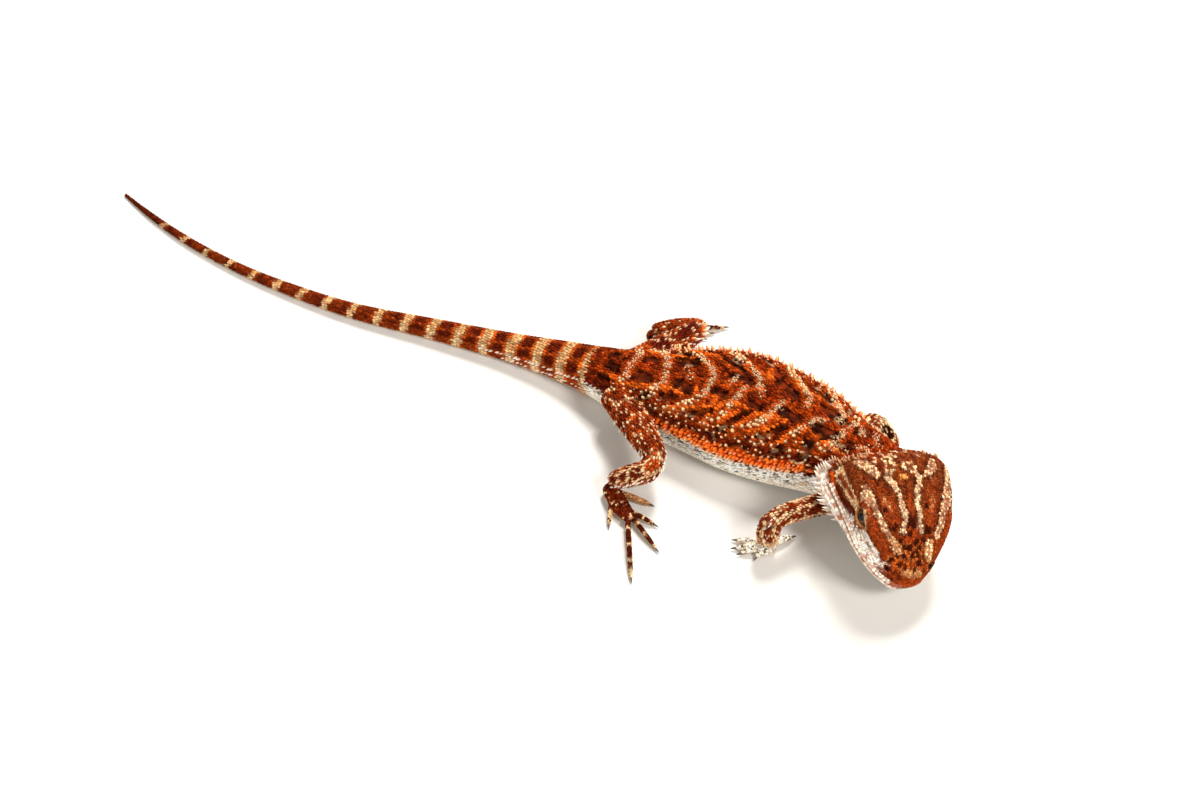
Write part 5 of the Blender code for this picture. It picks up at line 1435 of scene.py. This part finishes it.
# The scales of the lips: two even rows that meet in the line of the mouth, white and pink
def makeLips():
    batches = []
    for row, tall in ((0.66, 1.0), (-0.66, 0.95), (1.55, 0.72), (-1.5, 0.78)):
        step = 1.28 if abs(row) < 1 else 0.95
        xs = np.linspace(7.6, 36.75, 300)
        t = np.linspace(0.2, 0.95, 160)
        grid = headSection(np.repeat(xs, 160), np.tile(t, 300)).reshape(300, 160, 3)
        at = np.argmin(np.abs(grid[..., 2] - (mouthHeight(xs) + row)[:, None]), 1)
        path = grid[np.arange(300), at]
        walked = walk(path)
        places = np.arange(0.3 + 0.4 * (row < 0), walked[-1] + 0.2, step)
        here = np.stack([np.interp(places, walked, path[:, i]) for i in range(3)], 1)
        turns = np.interp(places, walked, t[at])
        for side in (1, -1):
            spot = fromHead(onSide(here, side))
            v = turns if side == 1 else 2 - turns
            placed = settle(*spotsOn(headSkin, here[:, 0], v, -1, 0.15, 0.01), 1.5)
            spot, out, ahead, k = settle(spot, placed[1], placed[2], 1.3)
            k &= lengths(spot - fromHead(onSide(here, side))) < 1.2
            size = spread((len(spot), 3), 0.94, 1.06) * [step, tall * 1.02, 0.34]
            size[:, 0] *= np.interp(here[:, 0], [30, 37], [1.0, 0.8])
            blush = ramp(uneven(spot, 2.6, 61), -0.2, 0.6) * 0.5 + (draw.random(len(spot)) < 0.4) * 0.5
            tint = over("white", "pink", blush)
            tint = over(tint, "rust", ramp(here[:, 0], 34.8, 36.2) * (row > 0) * 0.9)
            uv = atlas(here[:, 0], v, (0, 37), (0, 2.0))
            batches.append(stamp("lip", *pick(k, spot, out, ahead, size, tint, uv)))
    return batches


def makeLegs():
    batches = []
    for n, name in enumerate(legs["points"]):
        kind = name.split("_")[0]
        table = legTube(name)
        surface = skinOf(table)
        walked = walk(table[:, :3])

        def size(u, root=0.90 if kind == "hind" else 0.86):
            return root - 0.14 * u

        rows = rowsOver(surface, (0.0, 0.995), onceRound, lambda u: 1.12 * size(u), size, True)
        spot, out, ahead, k = settle(*spotsOn(surface, rows[:, 0], rows[:, 1], 1, 0.006, 0.05, rows))
        mm = np.interp(rows[:, 0], np.linspace(0, 1, len(walked)), walked)
        tint, tips = legTint(mm, rows[:, 1], spot, kind == "hind", legs["ovals"].get(name, ()))
        below = ramp(-out[:, 2], 0.2, 0.7)
        tint = over(tint, over("white", "sole", 0.5), below)
        sizes = varied(rows, 1.38, 1.0, 0.56)
        cell = (0.25 * n, 0.0, 0.25, 1.0)
        places = atlas(rows[:, 0], rows[:, 1], (0, 1), onceRound, cell)
        batches.append(stamp("keeled", *pick(k, spot, out, ahead, sizes), speckled(tint[k]), places[k],
                             tips[k]))
    return batches


# Hands, feet and toes: the smallest scales
def makePaws():
    batches = []
    for n, name in enumerate(legs["points"]):
        hind = name.startswith("hind")
        surfaces = [(skinOf(pawTube(name), 0.3), 0.62, (0.04, 0.97), -1)]
        for d, row in enumerate(legs["digits"][name]):
            surfaces.append((skinOf(digitTube(row)), 0.56, (0.1, 0.985), d))
        for m, (surface, step, ends, d) in enumerate(surfaces):
            rows = rowsOver(surface, ends, onceRound, step, step * 1.02, True)
            placed = spotsOn(surface, rows[:, 0], rows[:, 1], 1, 0.01, 0.06, rows, 0.1)
            spot, out, ahead, k = settle(*placed, 0.5)
            fine, tiny, u = uneven(spot, 1.4, 51), uneven(spot, 0.8, 52), rows[:, 0]
            tint = over("umber", "brick", 0.3 + 0.7 * fine)
            if not hind:
                tint = over("white", "sand", 0.25 + 0.3 * fine)
                tint = over(tint, "dark", (tiny > 0.45) * 0.85)
            elif d >= 0:
                ends = {0: 0.45, 1: 0.80}.get(d, 0.88)
                bars = np.cos(u * 2 * math.pi * (2.0, 4.0, 3.0, 3.0, 2.0)[d] + d) + 0.5 * tiny - (d == 0)
                tint = over(tint, "dark", 0.5)
                tint = over(tint, "cream", ramp(bars, 0.60, 0.95) * 0.85)
                tint = over(tint, "cream", ramp(u + 0.05 * tiny, ends, ends + 0.08) * (tiny < 0.5) * 0.85)
                tint = over(tint, over(tint, "cream", 0.4), (d == 4) * 0.5)
                tint = over(tint, "tan", (d == 4) * (0.7 - 0.3 * (tiny > 0.3)))
            else:
                tint = over(tint, "cream", ramp(fine + tiny, 0.6, 1.1) * 0.85)
                tint = over(tint, "sand", ramp(rows[:, 1] % 6.28, 5.0, 6.0) * 0.4)
            tint = over(tint, "sole", ramp(-out[:, 2], 0.1, 0.6))
            sizes = varied(rows, 1.22, 1.04, 0.27, 0.1)
            cell = (0.25 * n, m / 6, 0.25, 1 / 6)
            places = atlas(rows[:, 0], rows[:, 1], (0, 1), onceRound, cell)
            batches.append(stamp("keeled", *pick(k, spot, out, ahead, sizes), speckled(tint[k]), places[k]))
    return batches


spines = {
    # colours at the root and at the tip
    "colours": {
        "ember": ((0.8, 0.062, 0.003), (0.98, 0.25, 0.035)),
        "flame": ((0.84, 0.09, 0.004), (0.98, 0.66, 0.32)),
        "cream": ((0.36, 0.08, 0.02), (0.8, 0.58, 0.36)),
        "white": ((0.66, 0.42, 0.3), (0.96, 0.9, 0.8)),
        "sand": ((0.22, 0.05, 0.015), (0.58, 0.34, 0.16)),
    },
    # rows along both flanks: first and last x, spacing, turn, length, width, lean back in degrees
    # and colours
    "trunk": (
        (20, 69, 1.7, 18, 0.95, 0.95, 18, "ember"),
        (8, 69, 1.32, 14, 1.3, 1.12, 14, "ember"),
        (8, 69, 1.32, 10, 1.45, 1.18, 12, "ember"),
        (9, 68, 1.4, 6.5, 1.4, 1.15, 12, "flame"),
        (10, 67, 1.5, 2.5, 1.15, 1, 16, "white"),
        (66, 80, 1.3, 10, 1.5, 0.95, 40, "ember"),
        (66, 79, 1.4, 20, 1.25, 0.9, 42, "cream"),
        (68, 80, 1.6, 36, 1.15, 0.85, 45, "cream"),
        (-40, 8, 1.5, 8, 1.15, 0.85, 40, "white"),
        (-34, 8, 1.6, -6, 1.05, 0.85, 42, "white"),
    ),
    # rows that only the left side has, where the skin is drawn up along the flank
    "left": (
        (14, 70, 2.1, 27, 2.2, 1.05, 8, "flame"),
        (16, 68, 2.6, 33, 1.4, 0.95, 14, "cream"),
        (15, 69, 1.7, 21, 2, 1, 12, "ember"),
    ),
    # rows on both sides of the head: x from and to, t from and to, count, length, width, lean, colours
    "head": (
        (3.2, 13, 0.62, 0.67, 7, 2.4, 1.3, 24, "white"),
        (3, 16, 0.7, 0.76, 9, 2.6, 1.35, 26, "white"),
        (3.6, 15, 0.78, 0.84, 8, 2, 1.15, 40, "white"),
        (3.4, 13, 0.87, 0.94, 7, 1.4, 0.95, 52, "white"),
        (2.6, 3, 0.48, 0.64, 6, 2.4, 1.25, 14, "white"),
        (1.2, 1.6, 0.42, 0.62, 6, 1.8, 0.9, 20, "cream"),
        (2.8, 3.8, 0.12, 0.4, 9, 1.35, 0.95, 26, "sand"),
        (1.9, 2.3, 0.06, 0.36, 8, 1.15, 0.85, 24, "cream"),
    ),
    # rows along the legs: leg, parts of the way, degrees round, spacing, length, width, colours
    "legs": (
        ("hind_right", 0.12, 0.46, 90, 1.5, 1.55, 1, "white"),
        ("hind_right", 0.12, 0.46, 125, 1.5, 1.1, 0.85, "cream"),
        ("hind_right", 0.14, 0.46, 268, 1.2, 0.95, 0.85, "white"),
        ("hind_right", 0.3, 0.46, 240, 1.3, 0.9, 0.8, "flame"),
        ("hind_right", 0.46, 0.54, 270, 0.9, 1.2, 0.9, "white"),
        ("hind_right", 0.52, 0.97, 272, 1.1, 1.15, 0.85, "white"),
        ("hind_right", 0.56, 0.97, 300, 1.5, 0.9, 0.75, "cream"),
        ("hind_right", 0.52, 0.97, 88, 1.2, 1.05, 0.8, "white"),
        ("hind_left", 0.15, 0.48, 90, 1.3, 1.55, 1, "white"),
        ("hind_left", 0.15, 0.48, 70, 1.5, 1.3, 0.95, "flame"),
        ("hind_left", 0.15, 0.48, 108, 1.2, 1.1, 0.85, "white"),
        ("hind_left", 0.18, 0.48, 50, 1.8, 1.45, 0.9, "cream"),
        ("hind_left", 0.15, 0.46, 270, 1.3, 1.25, 0.8, "cream"),
        ("hind_left", 0.52, 0.97, 90, 1.3, 1.25, 0.85, "cream"),
        ("hind_left", 0.52, 0.97, 270, 1.2, 1.15, 0.8, "white"),
        ("front_right", 0.2, 0.95, 90, 1.3, 0.95, 0.75, "white"),
        ("front_right", 0.2, 0.95, 50, 1.5, 0.85, 0.75, "cream"),
        ("front_right", 0.5, 0.95, 272, 1.3, 0.9, 0.75, "white"),
        ("front_left", 0.2, 0.95, 270, 1.3, 0.95, 0.75, "white"),
        ("front_left", 0.2, 0.95, 310, 1.5, 0.85, 0.75, "cream"),
    ),
}


# Curved spines or straight cones in rows, leaning back along the body, paler at their tips
def spineBatch(kind, spotsAndWays, long, wide, lean, colours, places):
    spot, out, ahead, k = settle(*spotsAndWays, 0.9)
    count = len(spot)
    angle = np.radians(lean * spread(count, 0.8, 1.2))[:, None]
    swing = np.cross(out, ahead) * spread((count, 1), -0.18, 0.18)
    upright = unit(out * np.cos(angle) + ahead * np.sin(angle) + swing)
    along = unit(ahead * np.cos(angle) - out * np.sin(angle))
    size = np.tile([wide, wide, long], (count, 1)) * spread((count, 1), 0.74, 1.20)
    root, tip = (np.tile(colour, (count, 1)) for colour in spines["colours"][colours])
    odd = (draw.random(count) < 0.2) * (colours in ("ember", "flame"))
    tip = over(tip, "cream", odd * 0.8)
    tint, tips = speckled(root, 0.15), speckled(tip, 0.12)
    return stamp(kind, *pick(k, spot, upright, along, size, tint, places, tips))


def makeSpines():
    batches = []
    rows = [(row, (1, -1)) for row in spines["trunk"]] + [(row, (1,)) for row in spines["left"]]
    for (first, last, step, turn, long, wide, lean, colours), sides in rows:
        for side in sides:
            count = int((last - first) / step)
            x = np.linspace(first, last, count) + spread(count, -0.35, 0.35) * step
            angle = np.radians((turn if side == 1 else 180 - turn) + spread(count, -1.6, 1.6))
            places = atlas(x, angle, (-40, 90), (-0.3, math.pi + 0.3))
            ways = spotsOn(trunkSkin, wayAt(x), angle, -1, 0.3, 0.02)
            batches.append(spineBatch("cone", ways, long, wide, lean, colours, places))
    for x0, x1, t0, t1, count, long, wide, lean, colours in spines["head"]:
        for side in (1, -1):
            x = np.linspace(x0, x1, count) + spread(count, -0.25, 0.25)
            t = np.linspace(t0, t1, count) + spread(count, -0.008, 0.008)
            t = t if side == 1 else 2 - t
            places = atlas(x, t, (-2, 37), (0, 2))
            ways = spotsOn(headSkin, x, t, -1, 0.15, 0.01)
            batches.append(spineBatch("spine", ways, long, wide, lean, colours, places))
    for name, u0, u1, turn, step, long, wide, colours in spines["legs"]:
        table = legTube(name)
        surface = skinOf(table)
        count = int((u1 - u0) * legs["length"][name.split("_")[0]] / step)
        u = np.linspace(u0, u1, count) + spread(count, -0.005, 0.005)
        angle = np.radians(turn + spread(count, -9, 9))
        places = atlas(u, angle, (0, 1), onceRound)
        ways = spotsOn(surface, u, angle, 1, 0.006, 0.05)
        batches.append(spineBatch("cone", ways, long, wide, 38.0, colours, places))
    return batches


# Claws: at each toe's end a tube that tapers and curves down to the floor
def makeClaws():
    parts, rises = [], []
    for name in legs["points"]:
        for x0, y0, x1, y1, radius in legs["digits"][name]:
            tip = np.array([x1, y1, 0.75 * radius])
            heading = unit(np.array([x1 - x0, y1 - y0, 0.0]))
            t = np.linspace(0, 1, 12)
            middle = tip + heading * ((t - 0.28) * legs["clawLength"] * 1.25)[:, None]
            middle[:, 2] = 0.75 * radius + 0.30 * np.sin(t * 2.4) - 0.42 * t**2
            thick = 0.42 * radius / 0.8 * (1 - t) ** 0.62 + 0.03
            side = np.tile(unit(np.cross([0, 0, 1.0], heading)), (12, 1))
            table = tube(middle, side, np.stack([thick * 0.85, thick], 1))
            points, faces = rings(lambda u, v: tubeSkin(table, u, v, 0.0, 0.03), np.linspace(0, 1, 12), 12)
            parts.append((points, faces))
            rises.append(np.append(np.repeat(t, 12), [0.0, 1.0]))
    claws = newMesh("claws", *joined(parts), {"rise": np.concatenate(rises)})
    dress(claws, clawFinish())
    print("claws")


# An eyeball with a clear bulge over the iris; polar is the angle from the way it looks
def makeEye(side, name):
    axes, centre = eyeAxes(side), eyeCentre(side)
    radius = eye["radius"] * head["scale"]

    def ball(polar, around):
        r = radius * (1 + 0.045 * ramp(-polar, -0.75, -0.35))
        flat = np.stack([np.cos(polar), np.sin(polar) * np.cos(around), np.sin(polar) * np.sin(around)], 1)
        return centre + (flat * r[:, None]) @ axes

    steps = np.linspace(0.0, math.pi, 56)
    points, faces = joined([rings(ball, steps, 64)])
    polar = np.append(np.repeat(steps, 64), [0, math.pi])
    around = np.append(np.tile(np.arange(64) * 2 * math.pi / 64, 56), [0, 0])
    obj = newMesh("eyeball_" + name, points, faces, {"polar": polar, "around": around})
    dress(obj, eyeFinish())
    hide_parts("eye_" + name)


# Lids: a thick rolled edge round an almond opening, with low folds that run round it and sink
# under the scales of the brow and cheek
def lidSkin(side, a, b):
    axes, centre = eyeAxes(side), eyeCentre(side)
    long = (eye["long"] + 1.25 * b**1.2) * head["scale"]
    tall = (eye["tall"] + 1.55 * b**1.1) * head["scale"]
    along = long * np.cos(a)
    rise = tall * (1 - 0.3 * np.cos(a) ** 2 * (1 - b)) * np.sin(a)
    r = eye["radius"] + 0.10 + 0.34 * ramp(b, 0.0, 0.16) - 0.10 * ramp(b, 0.5, 1.0)
    r = (r + 0.05 * np.cos(b * 22) * ramp(b, 0.1, 0.3)) * head["scale"]
    out = np.sqrt(np.maximum(r**2 - along**2 - rise**2, 0.2))
    return centre + np.stack([out, along, rise], 1) @ axes


def makeLids():
    batches = []
    for side, name in ((1, "left"), (-1, "right")):
        count, steps = 120, np.linspace(0, 1, 26)
        a, b = np.meshgrid(np.arange(count) * 2 * math.pi / count, steps, indexing="ij")
        outer = lidSkin(side, a.ravel(), b.ravel()).reshape(count, 26, 3)
        centre = eyeCentre(side)
        far = np.linalg.norm(outer - centre, axis=2, keepdims=True)
        inner = centre + (outer - centre) * (1 - 0.5 / far)
        loop = np.concatenate([outer, inner[:, ::-1]], 1)
        points, faces = joined([(loop.reshape(-1, 3), ringFaces(count, 52))])
        tint = lidTint(np.repeat(np.arange(count) * 2 * math.pi / count, 52), points)
        lid = newMesh("eyelids_" + name, points, faces, {"tint": tint, "rise": np.full(len(points), 0.5)})
        dress(lid, smoothFinish)
        for level, step, tall in ((0.10, 0.36, 0.16), (0.27, 0.42, 0.18), (0.44, 0.46, 0.2),
                                  (0.62, 0.5, 0.22), (0.8, 0.55, 0.24)):
            fine = np.linspace(0, 2 * math.pi, 400)
            path = lidSkin(side, fine, np.full(400, level))
            walked = walk(path)
            number = int(walked[-1] / step)
            a = np.interp((np.arange(number) + 0.5 * (level > 0.2)) / number * walked[-1], walked, fine)
            here = lidSkin(side, a, np.full(number, level))
            around = unit(lidSkin(side, a + 0.02, np.full(number, level)) - here)
            out = unit(here - centre)
            sizes = spread((number, 3), 0.9, 1.1) * [step, step, tall]
            places = atlas(a, np.full(number, level), onceRound, (0, 1), (0.0, 0.0, 0.5, 0.1))
            batches.append(stamp("granule", here, out, around, sizes, speckled(lidTint(a, here), 0.1),
                                 places))
    return batches


# Lids are pale tan above the eye and orange-tan below it
def lidTint(a, points):
    tint = over("tan", "amber", 0.35 * ramp(-np.sin(a), 0, 0.5))
    tint = over(tint, "cream", 0.8 * ramp(np.sin(a), 0, 0.5))
    return over(tint, "maroon", ramp(-np.cos(a), 0.75, 1.0) * 0.8)


# Nostrils: a low ring of horn round each pit
def makeNostrils():
    parts = []
    for side in (1, -1):
        t = np.linspace(0.02, 0.98, 50)
        near = headSection(np.full(50, nostril["place"][0]), t)
        at = t[np.argmin(np.abs(near[:, 1:] - nostril["place"][1:]).sum(1))]
        v = at if side == 1 else 2 - at
        here, out, ahead = spotsOn(headSkin, np.array([nostril["place"][0]]), np.array([v]), -1, 0.15, 0.01)
        across = np.cross(out, ahead)

        def ring(u, v, here=here[0], out=out[0], ahead=ahead[0], across=across[0]):
            wide, tall = (0.78 + 0.30 * np.cos(v))[:, None], (0.16 * np.sin(v) - 0.05)[:, None]
            flat = np.cos(u)[:, None] * ahead * 1.1 + np.sin(u)[:, None] * across * 0.8
            return here + wide * flat + out * tall

        us = np.linspace(0, 2 * math.pi, 41)
        u, v = np.meshgrid(us[:-1], np.arange(14) * 2 * math.pi / 14, indexing="ij")
        parts.append((ring(u.ravel(), v.ravel()), ringFaces(40, 14)))
    points, faces = joined(parts)
    tint = np.tile(paint["umber"], (len(points), 1))
    rim = newMesh("nostrilRims", points, faces, {"tint": tint, "rise": np.full(len(points), 0.6)})
    dress(rim, smoothFinish)


# The skin takes the markings of the scales that stand on it, with painted shade in the nostril pits and the
# eye openings
def dyeAndShadeSkin():
    roots = np.vstack([b["roots"][0] for b in coatPieces])
    tints = np.vstack([b["roots"][1] for b in coatPieces])
    tree = treeOf(roots)
    near = np.array([[f[1] for f in tree.find_n(p, 3)] for p in skinPoints.tolist()])
    tint = tints[near].mean(1)
    local = inHead(skinPoints)
    off = np.abs(local[:, 2] - mouthHeight(local[:, 0]))
    mouth = ramp(-off, -0.5, -0.2) * (local[:, 0] > 7) * (local[:, 0] < 38) * (np.abs(local[:, 1]) < 19)
    tint = over(tint, (0.50, 0.24, 0.15), mouth * 0.9)
    for side in (1, -1):
        # nostril pits get painted shade, near black; the ears get their own colour
        for hole, colour, edge in ((nostril, (0.01, 0.005, 0.004), -0.8), (ear, (0.30, 0.12, 0.08), -0.85)):
            away = (local - onSide(hole["place"], side)) / hole["radii"]
            tint = over(tint, colour, ramp(-lengths(away), -1.0, edge))
        # painted shade: the skin inside each eye opening is near black
        tint = over(tint, (0.02, 0.008, 0.006), openingAt(skinPoints, side, 0.5) < 1)
    putAttribute(flesh.data, "tint", tint)
    flesh.data.materials.clear()
    dress(flesh, skinFinishWithPaintedShade())
    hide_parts(*[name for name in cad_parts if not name.startswith("eye_")])
    print("skin dyed")


coatPiece("backScales", makeBack(), keeledFinish)
coatPiece("bellyScales", makeBelly(), paleFinish)
coatPiece("tailScales", makeTail(), keeledFinish)
crownBatches, throatBatches = makeHead()
coatPiece("headScales", crownBatches, smoothFinish)
coatPiece("throatScales", throatBatches, smoothFinish)
coatPiece("lipScales", makeLips(), smoothFinish)
coatPiece("legScales", makeLegs(), keeledFinish)
coatPiece("pawScales", makePaws(), keeledFinish)
coatPiece("spineRows", makeSpines(), spineFinish)
coatPiece("lidScales", makeLids(), smoothFinish)
dyeAndShadeSkin()
makeClaws()
makeNostrils()
makeEye(1, "left")
makeEye(-1, "right")

view = {
    "azimuth": 17.0,  # the camera looks along +Y turned by this much, from above
    "height": 55.0,
    "aim": (0.0, 0.0, 10.0),  # in the trunk's frame, in mm
    "away": 638.0,
    "lens": 66.0,
    # place in metres, width of the lamp, power and colour
    "lights": {
        "keyLight": ((0.05, 0.75, 0.95), 0.30, 17.0, (1.0, 0.97, 0.93)),
        "fillLight": ((-0.8, -0.9, 0.4), 0.9, 6.5, (1.0, 0.96, 0.91)),
        "headLight": ((0.8, -0.2, 0.8), 0.3, 8.5, (1.0, 0.96, 0.90)),
    },
    "sky": (1.0, 0.96, 0.90, 1.0),
    "skyPower": 0.38,
}


# Floor, soft studio light and the camera at the photograph's angle
def makeStage():
    bpy.ops.mesh.primitive_plane_add(size=6.0, location=(0, 0, 0))
    floor = bpy.context.object
    floor.name = "floor"
    floor.data.materials.append(floorFinish())
    world = bpy.data.worlds.new("studio")
    world.use_nodes = True
    sky = world.node_tree.nodes["Background"].inputs
    sky["Color"].default_value, sky["Strength"].default_value = view["sky"], view["skyPower"]
    bpy.context.scene.world = world
    for name, (place, size, power, colour) in view["lights"].items():
        lamp = bpy.data.lights.new(name, "AREA")
        lamp.size, lamp.energy, lamp.color = size, power, colour
        obj = bpy.data.objects.new(name, lamp)
        obj.location = place
        aim = np.array(place) * -1.0
        lean, turn = math.acos(-aim[2] / np.linalg.norm(aim)), math.atan2(aim[1], aim[0])
        obj.rotation_euler = (lean, 0, turn - math.pi / 2)
        bpy.context.scene.collection.objects.link(obj)
    azimuth, height = math.radians(view["azimuth"]), math.radians(view["height"])
    forward = np.array([-math.sin(azimuth) * math.cos(height), math.cos(azimuth) * math.cos(height),
                        -math.sin(height)])
    lens = bpy.data.cameras.new("camera")
    lens.lens, lens.sensor_width = view["lens"], 36.0
    lens.clip_start, lens.clip_end = 0.01, 20.0
    camera = bpy.data.objects.new("camera", lens)
    camera.location = (np.array(view["aim"]) - bodyMiddle - forward * view["away"]) * toMetres
    camera.rotation_euler = (math.pi / 2 - height, 0, azimuth)
    bpy.context.scene.collection.objects.link(camera)
    bpy.context.scene.camera = camera
    bpy.context.scene.view_settings.view_transform = "Standard"


makeStage()
